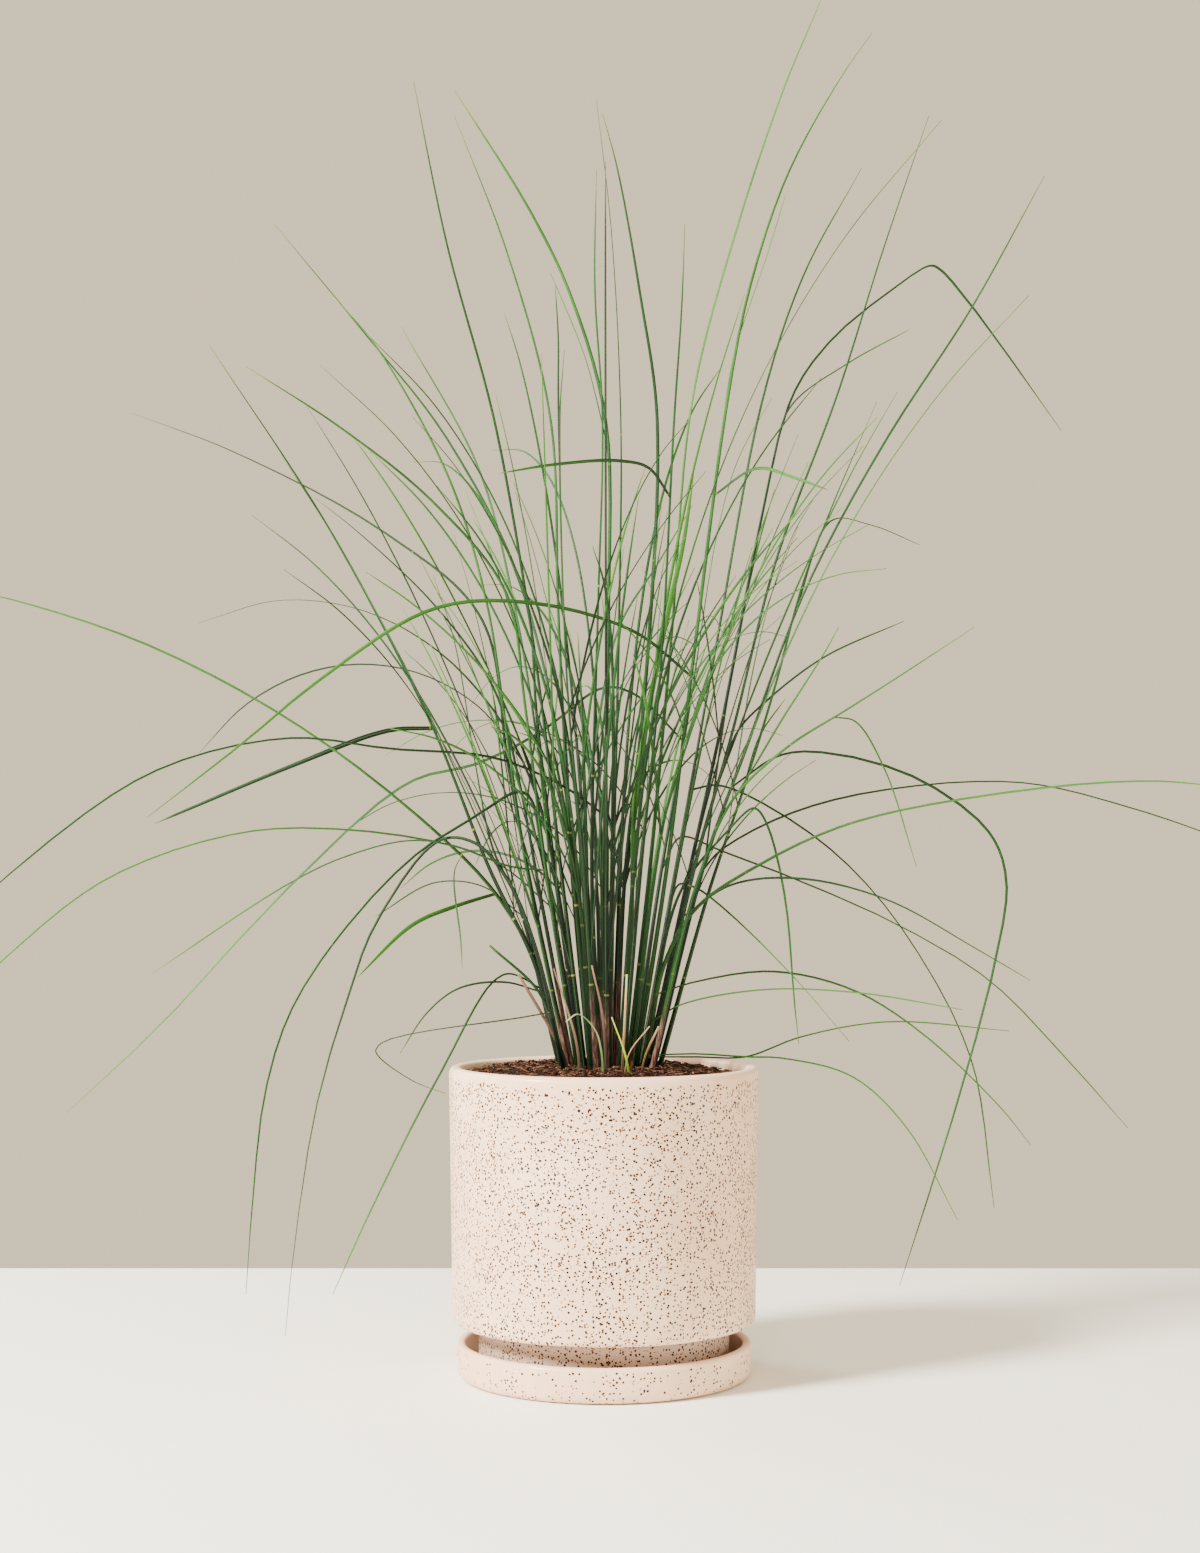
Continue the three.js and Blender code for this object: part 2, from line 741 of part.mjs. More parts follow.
// A closed tapering solid round a line of places, with the corners of its cross-section at each
function loft(places, sizes, section, roll) {
  const sides = section.length;
  const way = places[places.length - 1].clone().sub(places[0]);
  const level = new THREE.Vector3(-way.y, way.x, 0).normalize();
  const corners = [];
  const faces = [];
  places.forEach((place, i) => {
    const { across, normal } = acrossOf(places, i, level, roll);
    const [halfWidth, halfThick] = sizes[i];
    for (const [u, v] of section) {
      const corner = place.clone().addScaledVector(across, u * halfWidth);
      corner.addScaledVector(normal, v * halfThick);
      corners.push(corner.x, corner.y, corner.z);
    }
  });
  for (let i = 0; i < places.length - 1; i++) {
    for (let k = 0; k < sides; k++) {
      const [a, b] = [i * sides + k, i * sides + ((k + 1) % sides)];
      faces.push(a, b, a + sides, b, b + sides, a + sides);
    }
  }
  const last = (places.length - 1) * sides;
  for (let k = 1; k < sides - 1; k++) {
    faces.push(0, k + 1, k);
    faces.push(last, last + k, last + k + 1);
  }
  const geometry = new THREE.BufferGeometry();
  geometry.setAttribute("position", new THREE.Float32BufferAttribute(corners, 3));
  geometry.setIndex(faces);
  return solidOf(geometry);
}

// The least distance between two straight stretches
const stretch = { u: new THREE.Vector3(), v: new THREE.Vector3(), w: new THREE.Vector3() };
function stretchDistance(p, q, r, s) {
  const u = stretch.u.subVectors(q, p);
  const v = stretch.v.subVectors(s, r);
  const w = stretch.w.subVectors(p, r);
  const [a, b, c, d, e] = [u.dot(u), u.dot(v), v.dot(v), u.dot(w), v.dot(w)];
  const spread = a * c - b * b;
  let t = spread > 1e-9 ? THREE.MathUtils.clamp((b * e - c * d) / spread, 0, 1) : 0;
  let k = THREE.MathUtils.clamp((b * t + e) / c, 0, 1);
  t = THREE.MathUtils.clamp((b * k - d) / a, 0, 1);
  k = THREE.MathUtils.clamp((b * t + e) / c, 0, 1);
  return w.addScaledVector(u, t).addScaledVector(v, -k).length();
}

// Whether a stretch stays clear of the soil, the pot and what the saucer stands on
function isAbovePot(p, q, half) {
  const room = half + POT_CLEAR;
  for (let share = 0; share <= 1; share += 0.1) {
    const { x, y, z } = p.clone().lerp(q, share);
    const out = Math.hypot(x, y);
    const besideOrOver = out > POT_RIM_RADIUS + room || z > POT_TOP + room;
    const overSoil = out < POT_RIM_RADIUS - POT_WALL - room && z > soilLevel(x, y) + room;
    if (z < GROUND_CLEAR + half || !(besideOrOver || overSoil)) return false;
  }
  return true;
}

// The stretches of every piece placed so far, which a new one must clear
const placed = [];
function isClear(places, sizes, piece) {
  for (let i = 0; i < places.length - 1; i++) {
    const [p, q] = [places[i], places[i + 1]];
    const half = Math.max(sizes[i][0], sizes[i + 1][0]);
    if (i > 0 && !isAbovePot(p, q, half)) return false;
    const [low, high] = [Math.min(p.z, q.z), Math.max(p.z, q.z)];
    for (const other of placed) {
      if (other.piece === piece) continue;
      if (other.low > high + NEAR_HEIGHT || other.high < low - NEAR_HEIGHT) continue;
      if (stretchDistance(p, q, other.p, other.q) < half + other.half + CLEAR) return false;
    }
  }
  return true;
}

function keep(places, sizes, piece) {
  for (let i = 0; i < places.length - 1; i++) {
    const [p, q] = [places[i], places[i + 1]];
    const half = Math.max(sizes[i][0], sizes[i + 1][0]);
    placed.push({ piece, p, q, half, low: Math.min(p.z, q.z), high: Math.max(p.z, q.z) });
  }
}

// Shifts tried in turn: none, then a step either way, growing
const SHIFTS = [0];
for (let i = 1; i <= MOST_SHIFTS; i++) SHIFTS.push(i, -i);

const feet = [];
const holes = [];
const group = new THREE.Group();
group.name = "potted_muhly_grass";

// The hole that a stem stands in: plain, straight and six-sided, a little wider than the stem
function addHole(foot, exit, radius) {
  const way = exit.clone().sub(foot).normalize();
  const lower = foot.clone().addScaledVector(way, -GAP);
  const upper = exit.clone().addScaledVector(way, HOLE_ABOVE);
  const round = (radius + GAP) / Math.cos(Math.PI / 6);
  const shape = new THREE.CylinderGeometry(round, round, lower.distanceTo(upper), 6);
  shape.applyQuaternion(new THREE.Quaternion().setFromUnitVectors(new THREE.Vector3(0, 1, 0), way));
  const middle = lower.clone().lerp(upper, 0.5);
  shape.translate(middle.x, middle.y, middle.z);
  holes.push(solidOf(shape));
}

// A stem with its leaves, given as functions that lay each out for a shift, fused into one solid
function growStem(name, stemFor, leaves, colour) {
  const laid = SHIFTS.map(stemFor).find((stem) => {
    const isFree = (foot) => Math.hypot(foot.x - stem.foot.x, foot.y - stem.foot.y) > FOOT_SPACING;
    return feet.every(isFree) && isClear(stem.places, stem.sizes, name);
  });
  if (!laid) throw new Error(name + " finds no clear way up");
  feet.push(laid.foot);
  keep(laid.places, laid.sizes, name);
  addHole(laid.places[0], laid.places[1], laid.sizes[0][0]);
  let solid = loft(laid.places, laid.sizes, STEM_SECTION, laid.roll);
  leaves.forEach((leafFor, n) => {
    const tries = SHIFTS.map((shift) => leafFor(laid, shift));
    const leaf = tries.find((one) => isClear(one.places, one.sizes, name));
    if (!leaf) throw new Error(name + " leaf " + n + " finds no clear way out");
    keep(leaf.places, leaf.sizes, name);
    solid = solid.add(loft(leaf.places, leaf.sizes, LEAF_SECTION, leaf.roll));
  });
  group.add(meshOf(name, solid, colour, SATIN));
}

// Where a laid-out stem passes a height first
function atHeight(places, height) {
  for (let i = 1; i < places.length; i++) {
    const [low, high] = [places[i - 1], places[i]];
    if (low.z > height || high.z <= height) continue;
    return low.clone().lerp(high, (height - low.z) / (high.z - low.z));
  }
  return places[places.length - 2].clone();
}

// The number of a stem as its mesh's name
function stemName(number) {
  return "leafy_stem_" + String(number + 1).padStart(2, "0");
}

// The stems drawn from the front
function drawnStem(stem, index) {
  const side = index % 2 ? 1 : -1;
  const stemFor = (shift) => {
    const [across, up] = stem.seen[0];
    const disc = CLUMP_SLOPE * (up - CLUMP_APEX);
    const aside = Math.min(disc, Math.abs(across - CLUMP_X));
    const room = CLUMP_DEPTH * Math.sqrt(disc * disc - aside * aside);
    const depth = THREE.MathUtils.clamp(CROWN_SHARE * stem.back, -room, room) + ROOT_SHIFT * shift;
    const tip = stem.back + TIP_SHIFT * shift;
    const out = wayOut(stem.seen);
    const points = stem.seen.map(([x, z], i) => atDepth(x, z, depth + (tip - depth) * out[i]));
    const crown = points[0];
    points.unshift(culmPoint(crown, STEM_END), culmPoint(crown, SOIL_EXIT));
    const places = ringsAlong(points);
    const sizes = stemSizes(places, stem.wide ?? STEM_WIDTH);
    const roll = (stem.roll ?? side * STEM_ROLL) * DEGREE;
    return { foot: culmPoint(crown, FOOT_LEVEL), places, sizes, roll };
  };
  const leaves = stem.leaves.map((leaf, n) => (laid, shift) => {
    const root = atHeight(laid.places, leaf.from);
    const reach = (root.y - EYE.y) / -EYE.y;
    const start = [EYE.x + (root.x - EYE.x) / reach, EYE.z + (root.z - EYE.z) / reach];
    const seen = [start, ...leaf.seen];
    const out = wayOut(seen);
    const tip = leaf.back + TIP_SHIFT * shift;
    const points = seen.map(([x, z], i) => atDepth(x, z, root.y + (tip - root.y) * out[i]));
    const places = ringsAlong(points);
    const roll = (leaf.roll ?? (n % 2 ? -LEAF_ROLL : LEAF_ROLL)) * DEGREE;
    return { places, sizes: leafSizes(places, leaf.wide), roll };
  });
  leaves.push(smallLeaf(stem), innerLeaf(stem.seen[1][1]));
  growStem(stemName(index), stemFor, leaves, GREENS[index % GREENS.length]);
}

// The one small leaf by rule on each drawn stem
function smallLeaf(stem) {
  const draws = SMALL_LEAF_DRAWS;
  const azimuth = between(draws.azimuth) * DEGREE;
  const lean = between(draws.lean) * DEGREE;
  const droop = between(draws.droop) * DEGREE;
  const lowest = Math.min(stem.seen[0][1], draws.lowest);
  const highest = Math.min(stem.seen[1][1], draws.highest);
  const from = between([lowest, highest]);
  const length = between(draws.length);
  return ruledLeaf(azimuth, from, 0, length, lean, droop, between(draws.wide));
}

// The one inner leaf by rule on every stem, from below the height where the stem bends away
function innerLeaf(bend) {
  const pick = (name) => between(INNER_LEAF_DRAWS[name], "innerLeaves");
  const [aside, lean, droop] = [pick("aside"), pick("lean") * DEGREE, pick("droop") * DEGREE];
  const range = [INNER_LEAF_DRAWS.lowest, Math.min(bend, INNER_LEAF_DRAWS.highest)];
  const from = between(range, "innerLeaves");
  const [length, wide, roll] = [pick("length"), pick("wide"), pick("roll") * DEGREE];
  return (laid, shift) => {
    const root = atHeight(laid.places, from);
    const outward = root.clone().setX(root.x - CLUMP_X);
    const away = Math.atan2(Math.hypot(outward.x, outward.y), root.z - CLUMP_APEX);
    const turn = Math.atan2(outward.y, outward.x) + aside + LEAF_TURN * shift;
    const points = archPoints(root, turn, away + lean, away + droop, length, LATE_BEND, 0);
    const places = ringsAlong(points);
    return { places, sizes: leafSizes(places, wide), roll };
  };
}

// The way of an arching blade: its lean from upright grows along its length, by a power
function archPoints(start, azimuth, lean, droop, length, power, twist) {
  const points = [start.clone()];
  const steps = ARCH_POINTS * ARCH_STEPS;
  const step = length / steps;
  const at = start.clone();
  for (let i = 0; i < steps; i++) {
    const s = (i + 0.5) / steps;
    const angle = lean + (droop - lean) * Math.pow(s, power);
    const turn = azimuth + twist * s;
    at.x += step * Math.sin(angle) * Math.cos(turn);
    at.y += step * Math.sin(angle) * Math.sin(turn);
    at.z += step * Math.cos(angle);
    if ((i + 1) % ARCH_STEPS === 0) points.push(at.clone());
  }
  return points;
}

// A leaf by rule: where on its stem it starts, how far round it turns from its stem, and how it arches
function ruledLeaf(azimuth, from, aside, length, lean, droop, wide) {
  const roll = between(LEAF_DRAWS.roll) * DEGREE;
  return (laid, shift) => {
    const root = atHeight(laid.places, from);
    const turn = azimuth + aside + LEAF_TURN * shift;
    const places = ringsAlong(archPoints(root, turn, lean, droop, length, LEAF_POWER, 0));
    return { places, sizes: leafSizes(places, wide), roll };
  };
}

// The stems by rule, in turn behind and in front of the drawn ones, and steeper in front of the pot
function ruledStem(index) {
  const behind = index % 2 === 0;
  const draws = STEM_DRAWS;
  const azimuth = ((behind ? 90 : -90) + between(draws.azimuth)) * DEGREE;
  const outward = between(draws.outward);
  const tall = Math.pow(draw(), 2);
  const length = THREE.MathUtils.lerp(...draws.length, tall);
  const lift = (behind ? draws.tallLiftBehind : draws.tallLiftInFront) * tall;
  const droop = (between(behind ? draws.droopBehind : draws.droopInFront) - lift) * DEGREE;
  const power = between(draws.power);
  const twist = between(draws.twist);
  const wide = between(draws.wide);
  const roll = between(draws.roll) * DEGREE;
  const stemFor = (shift) => {
    const angle = azimuth + STEM_TURN * shift;
    const disc = CLUMP_SLOPE * (RULED_CROWN - CLUMP_APEX) * outward;
    const x = CLUMP_X + disc * Math.cos(angle);
    const crown = new THREE.Vector3(x, CLUMP_DEPTH * disc * Math.sin(angle), RULED_CROWN);
    const lean = Math.atan2(Math.hypot(crown.x - CLUMP_X, crown.y), RULED_CROWN - CLUMP_APEX);
    const points = archPoints(crown, angle, lean, droop, length, power, twist);
    points.unshift(culmPoint(crown, STEM_END), culmPoint(crown, SOIL_EXIT));
    const places = ringsAlong(points);
    return { foot: culmPoint(crown, FOOT_LEVEL), places, sizes: stemSizes(places, wide), roll };
  };
  const leaves = [-1, 1].map((side) => {
    const from = between(LEAF_DRAWS.from);
    const aside = side * between(LEAF_DRAWS.aside);
    const leafLength = between(LEAF_DRAWS.length);
    const leafLean = between(LEAF_DRAWS.lean) * DEGREE;
    const leafDroop = between(behind ? LEAF_DRAWS.droopBehind : LEAF_DRAWS.droopInFront) * DEGREE;
    return ruledLeaf(azimuth, from, aside, leafLength, leafLean, leafDroop, between(LEAF_DRAWS.wide));
  });
  leaves.push(innerLeaf(INNER_LEAF_DRAWS.highest));
  const number = DRAWN_STEMS.length + index;
  growStem(stemName(number), stemFor, leaves, GREENS[number % GREENS.length]);
}

// The short pieces: each stands straight in its own hole
function shortPiece(piece) {
  const stemFor = (shift) => {
    const out = wayOut([[0, 0], ...piece.seen]).slice(1);
    const footY = piece.foot[1] - FOOT_SHIFT * shift;
    const points = piece.seen.map(([x, z], i) => atDepth(x, z, footY + (piece.back - footY) * out[i]));
    const foot = new THREE.Vector3(piece.foot[0], footY, SHORT_END);
    const places = ringsAlong([foot, ...points]);
    const sizes = places.map((_, i) => {
      const half = piece.radius * (1 - (SHORT_TAPER * i) / (places.length - 1));
      return [half, Math.max(0.7 * half, BLADE_HALF)];
    });
    return { foot, places, sizes, roll: 0 };
  };
  growStem(piece.name, stemFor, [], piece.colour);
}

SHORT_PIECES.forEach(shortPiece);
DRAWN_STEMS.forEach(drawnStem);
for (let i = 0; i < RULED_STEMS; i++) ruledStem(i);

group.add(meshOf("saucer", makeSaucer(), GLAZE, GLOSSY));
group.add(meshOf("pot", makePot(), GLAZE, GLOSSY));
group.add(meshOf("soil", makeSoil(), DARK_SOIL, DULL));

export default group;
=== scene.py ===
# %% [markdown]
# # Potted white cloud muhly grass
# The real object is a clump of slender grass stems in potting mix, in a speckled stoneware
# cylinder with its saucer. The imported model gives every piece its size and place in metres,
# with +Z up and the front towards -Y. This script replaces each plain solid with a finer piece
# of the same form and gives it the finish of the real thing.

import math
import random
from functools import partial

import bpy
import bmesh
import numpy as np
from mathutils import Matrix, Vector, noise
from mathutils.bvhtree import BVHTree


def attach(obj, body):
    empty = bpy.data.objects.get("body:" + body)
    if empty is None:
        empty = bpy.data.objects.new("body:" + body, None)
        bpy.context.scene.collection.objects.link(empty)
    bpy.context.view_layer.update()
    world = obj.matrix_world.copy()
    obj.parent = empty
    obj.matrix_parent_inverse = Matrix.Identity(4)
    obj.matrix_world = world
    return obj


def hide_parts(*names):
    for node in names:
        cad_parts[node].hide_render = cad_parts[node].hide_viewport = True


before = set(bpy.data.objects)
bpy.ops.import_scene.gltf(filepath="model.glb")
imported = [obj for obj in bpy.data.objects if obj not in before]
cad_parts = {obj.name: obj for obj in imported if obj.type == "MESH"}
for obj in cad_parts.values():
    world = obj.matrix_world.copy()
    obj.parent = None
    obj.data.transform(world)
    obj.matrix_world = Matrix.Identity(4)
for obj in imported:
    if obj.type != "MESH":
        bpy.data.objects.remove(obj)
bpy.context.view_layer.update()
MM = 0.001

# %% [markdown]
# ## Small helpers
# Operators act on all that is selected, so each piece starts with nothing selected. Colours are
# written as sRGB hex values, as a colour picker shows them, and one function turns them linear.
# Another adds every material node, so that a finish reads as the steps of its pattern.

# %% Selecting and colours
def deselect_all():
    bpy.ops.object.select_all(action="DESELECT")


def work_on(piece, *others):
    """Selects a piece, and others that are to join it, and makes the piece the active one."""
    deselect_all()
    for each in (piece, *others):
        each.select_set(True)
    bpy.context.view_layer.objects.active = piece


def linear(hex_colour):
    channels = [int(hex_colour[i : i + 2], 16) / 255 for i in (1, 3, 5)]
    return [c / 12.92 if c <= 0.04045 else ((c + 0.055) / 1.055) ** 2.4 for c in channels] + [1]


print("half grey as a share of light:", round(linear("#808080")[0], 3))


# %% Adding a node
def output_of(source):
    """A node's first output that is in use, or the socket itself."""
    if isinstance(source, bpy.types.Node):
        return next(socket for socket in source.outputs if socket.enabled)
    return source


def add_node(tree, kind, *values, stops=(), **inputs):
    """Adds a node. kind is its name, then its settings, of which the operation needs no name.
    values go to the inputs in use, in their order, and inputs go by name. Each is a number or a
    colour, or the node or socket that it comes from. stops are a ramp's colours."""
    name, *settings = kind.split()
    node = tree.nodes.new("ShaderNode" + name)
    for setting in settings:
        key, _, choice = setting.rpartition("=")
        setattr(node, key or "operation", choice)
    if stops:
        marks = node.color_ramp.elements
        while len(marks) < len(stops):
            marks.new(0.5)
        for mark, (place, colour) in zip(marks, stops):
            mark.position, mark.color = place, linear(colour)
    in_use = [socket for socket in node.inputs if socket.enabled]
    by_name = {socket.name.replace(" ", "_"): socket for socket in reversed(in_use)}
    pairs = [*zip(in_use, values), *((by_name[key], value) for key, value in inputs.items())]
    for socket, value in pairs:
        if isinstance(value, (bpy.types.Node, bpy.types.NodeSocket)):
            tree.links.new(output_of(value), socket)
        else:
            socket.default_value = value
    return node


COLOUR_MIX = "Mix data_type=RGBA"
SHADE_MIX = "Mix data_type=RGBA blend_type=MULTIPLY"
print("kinds of mix:", COLOUR_MIX, "/", SHADE_MIX)


# %% Starting and closing a material
def new_material(name, **levels):
    """A material with some levels of its shader set, a way to add nodes to it, and the shader."""
    material = bpy.data.materials.new(name)
    material.use_nodes = True
    shader = material.node_tree.nodes["Principled BSDF"]
    for level, value in levels.items():
        shader.inputs[level.replace("_", " ")].default_value = value
    return material, partial(add_node, material.node_tree), shader


def connect(shader, colour, bump):
    """Gives a shader its colour and its relief."""
    links = shader.id_data.links
    links.new(output_of(colour), shader.inputs["Base Color"])
    links.new(output_of(bump), shader.inputs["Normal"])


print("materials so far:", len(bpy.data.materials))

# %% [markdown]
# ## Camera, floor and light
# The photograph was taken level with the lower half of the grass from about one and a half
# metres, and its frame was slid up instead of tilting the camera, so upright lines stay upright.
# A lens shift does the same here. The floor is a plain pale slab, and the plain backdrop is the
# world's own even colour, which also fills the shadows. A wall could stand there instead, but it
# would hide the plant in views from behind. A broad lamp on the left gives the soft shadow that
# a window would, and three faint ones lift the dark sides.

# %% Camera
EYE = np.array([-2.6, -1537, 319.4])  # in millimetres
camera_data = bpy.data.cameras.new("camera")
camera_data.sensor_fit = "VERTICAL"
camera_data.sensor_height = 36
camera_data.lens = 54.3
camera_data.shift_y = 0.0712
camera_data.clip_start = 0.05
camera = bpy.data.objects.new("camera", camera_data)
camera.location = Vector(EYE) * MM
camera.rotation_euler = (math.pi / 2, 0, 0)
bpy.context.scene.collection.objects.link(camera)
bpy.context.scene.camera = camera
print("lens:", camera_data.lens)

# %% Floor
FLOOR_BACK = 0.43
FLOOR_TOP = -0.0001
FLOOR_SIZE = (5, 3, 0.0398)
deselect_all()
middle = (0, FLOOR_BACK - FLOOR_SIZE[1] / 2, FLOOR_TOP - FLOOR_SIZE[2] / 2)
bpy.ops.mesh.primitive_cube_add(size=1, location=middle, scale=FLOOR_SIZE)
floor = bpy.context.object
floor.name = "floor"
bpy.ops.object.transform_apply(location=True, rotation=False, scale=True)
bpy.ops.object.mode_set(mode="EDIT")
bpy.ops.mesh.select_all(action="SELECT")
bpy.ops.mesh.bevel(offset=0.004, segments=3)
bpy.ops.object.mode_set(mode="OBJECT")
pale = linear("#f1efe6")
paint, _, _ = new_material("painted floor, matt", Base_Color=pale, Roughness=0.6, IOR=1.45)
floor.data.materials.append(paint)
print("floor:", [round(side, 3) for side in floor.dimensions])


# %% Light
def soft_light(name, place, target, across, power, colour):
    data = bpy.data.lights.new(name, "AREA")
    data.shape = "DISK"
    data.size = across
    data.energy = power
    data.color = linear(colour)[:3]
    light = bpy.data.objects.new(name, data)
    light.location = place
    light.rotation_euler = (Vector(target) - Vector(place)).to_track_quat("-Z", "Y").to_euler()
    bpy.context.scene.collection.objects.link(light)


soft_light("window_light", (-2.0, -1.3, 1.8), (0, 0, 0.3), across=0.7, power=410, colour="#fffaf2")
soft_light("front_fill", (-0.3, -2.3, 1.5), (0, 0, 0.2), across=0.3, power=15, colour="#fffaf4")
soft_light("right_fill", (2.2, -0.7, 0.45), (0, 0, 0.15), across=1.0, power=30, colour="#fff6ee")
soft_light("back_left", (-1.6, 1.5, 1.6), (0, 0, 0.4), across=0.9, power=35, colour="#ffffff")
world = bpy.data.worlds.new("studio")
bpy.context.scene.world = world
world.use_nodes = True
backdrop = world.node_tree.nodes["Background"]
backdrop.inputs["Color"].default_value = linear("#ffecc7")
backdrop.inputs["Strength"].default_value = 1.1

# %% [markdown]
# ## Stoneware glaze
# The pot and saucer are wheel-made stoneware under a pale pinkish glaze, fired to a soft gloss.
# Iron in the clay melts through it as specks a millimetre or so across, in loose drifts with
# bare patches between. Thousands of tiny discs could be laid on, but a pattern is lighter and
# follows every curve. A Voronoi pattern has one point in each cell, so a limit on the distance
# to that point gives one round speck per cell. Each speck is darkest in its middle and bleeds
# to rust at its rim.

# %% Where the specks lie
WOBBLE, WOBBLE_WIDTH = 0.28, 1.1
CLUMPING, DRIFT_WIDTH = 1.1, 26


def height_and_radius(add, spot):
    """How high a spot lies, and how far from the pot's axis."""
    height = add("SeparateXYZ", spot).outputs["Z"]
    level = add("VectorMath MULTIPLY", spot, (1, 1, 0))
    return height, add("VectorMath LENGTH", level)


def where_iron_shows(add, spot, highest, inside, foot_top):
    """1 where specks may lie: not on the lip or the inner wall, which are glazed twice."""
    height, radius = height_and_radius(add, spot)
    below = add("Math LESS_THAN", height, highest * MM)
    outside = add("Math GREATER_THAN", radius, inside * MM)
    on_foot = add("Math LESS_THAN", height, foot_top * MM)
    outer = add("Math MAXIMUM", outside, on_foot)
    return add("Math MULTIPLY", below, outer)


def specks(add, place, cell, reach, bare, limits):
    """How far from its middle a place lies in a speck (0 to 1), and how much it is covered.
    cell is the specks' spacing and reach their radius, both in millimetres."""
    wobble = add("TexNoise", place, Scale=1 / (WOBBLE_WIDTH * MM), Detail=1.0)
    nudge = (WOBBLE * MM, WOBBLE * MM, WOBBLE * MM)
    nudged = add("VectorMath MULTIPLY_ADD", wobble.outputs["Color"], nudge, place)
    cells = add("TexVoronoi", nudged, Scale=1 / (cell * MM))
    chance = add("SeparateColor", cells.outputs["Color"])
    low, high = 0.85 * reach / cell, 1.1 * reach / cell
    size = add("MapRange", chance.outputs["Green"], To_Min=low, To_Max=high)
    outward = add("Math DIVIDE", cells.outputs["Distance"], size)
    rim = dict(From_Min=0.9, From_Max=1.04, To_Min=1.0, To_Max=0.0)
    inside = add("MapRange interpolation_type=SMOOTHSTEP", outward, **rim)

    # A speck is kept or left out whole: by chance, by slow drifts, and by where its middle lies
    drift = add("TexNoise", place, Scale=1 / (DRIFT_WIDTH * MM), Detail=2.0)
    likely = add("Math MULTIPLY_ADD", drift, CLUMPING, -CLUMPING / 2)
    score = add("Math ADD", chance.outputs["Red"], likely)
    kept = add("Math GREATER_THAN", score, bare)
    allowed = where_iron_shows(add, cells.outputs["Position"], **limits)
    whole = add("Math MULTIPLY", kept, allowed)
    cover = add("Math MULTIPLY", inside, whole)
    paler = add("MapRange", chance.outputs["Blue"], From_Min=0.7, To_Max=0.35)
    return add("Math ADD", outward, paler), cover


print("specks wander by up to", WOBBLE, "mm and drift over", DRIFT_WIDTH, "mm")

# %% Speckled glaze
GLAZE = [(0.35, "#dfb99a"), (0.65, "#e9c8ab")]
IRON = [(0.0, "#0c0502"), (0.6, "#1c0d05"), (0.85, "#3c1d0a"), (1.0, "#7a4a20")]
GLAZE_DRIFT, PEEL_WIDTH, PEEL_DEPTH = 70, 5, 0.05

# Three sizes of speck, each with its spacing, its radius and how much rarer it is. A speck is a
# ball that the surface cuts anywhere, so most show smaller than they are. They are drawn about
# a tenth coarser than real ones, to show at the camera's distance.
SPECK_SIZES = [(2.1, 0.82, 0), (2.0, 0.5, 0.25), (5.0, 0.95, 0.5)]


def speckled_glaze(name, limits, painted_shade, bare, painted_shade_below=0, painted_shade_within=0):
    """limits says where specks may lie and bare how rare they are. The third argument is a darker,
    duller colour painted as shade below a height, or within a radius."""
    # The gloss is a thin clear skin, so it is a coat, and the body beneath hardly shines
    gloss = dict(Specular_IOR_Level=0.1, Coat_Weight=0.3, Coat_Roughness=0.15)
    material, add, shader = new_material(name, Roughness=0.45, IOR=1.5, **gloss)
    place = add("TexCoord").outputs["Object"]

    # The glaze itself is pale, with slow warm and cool drifts where it lies thicker. Under the pot's
    # body and inside the saucer it is painted darker and duller: painted shade of the recess and the gap.
    drifts = add("TexNoise", place, Scale=1 / (GLAZE_DRIFT * MM), Detail=3.0)
    body = add("ValToRGB", drifts, stops=GLAZE)
    height, radius = height_and_radius(add, place)
    # Painted shade: a darker, duller colour below one height and within one radius
    low = add("Math LESS_THAN", height, painted_shade_below * MM)
    within = add("Math LESS_THAN", radius, painted_shade_within * MM)
    thin = add("Math MAXIMUM", low, within)
    body = add(COLOUR_MIX, thin, body, linear(painted_shade))

    for cell, reach, rarer in SPECK_SIZES:
        rust, cover = specks(add, place, cell, reach, bare + rarer, limits)
        iron = add("ValToRGB", rust, stops=IRON)
        body = add(COLOUR_MIX, cover, body, iron)

    # A faint orange-peel skin, a few hundredths of a millimetre deep
    peel = add("TexNoise", place, Scale=1 / (PEEL_WIDTH * MM), Detail=2.0)
    bump = add("Bump", Strength=0.25, Distance=PEEL_DEPTH * MM, Height=peel)
    connect(shader, body, bump)
    return material


FOOT_TOP = 34
pot_limits = dict(highest=196.5, inside=95, foot_top=FOOT_TOP)
saucer_limits = dict(highest=20.5, inside=92, foot_top=-1)
# Painted shade on the pot's foot below FOOT_TOP and in the saucer's hollow within 90.8 mm
pot_glaze = speckled_glaze(
    "stoneware, speckled glaze", pot_limits, "#ad9684", bare=0.3, painted_shade_below=FOOT_TOP)
saucer_glaze = speckled_glaze(
    "stoneware, sparsely speckled glaze", saucer_limits, "#c8b5a6", bare=0.7, painted_shade_within=90.8)
print("glazes:", pot_glaze.name, "/", saucer_glaze.name)

# %% [markdown]
# ## Saucer and pot
# Both are turned, so both are made as a potter's hand pulls them: one ring of edges is extruded
# and widened or narrowed, again and again, from the underside round the lip to the floor inside.
# Spinning a profile would do as well, but this way each ring is a radius and a height that can
# be read off. Curves are stepped finely enough that the outline looks round from the camera.

# %% Turning a piece from its rings
TURNED_SIDES = 144


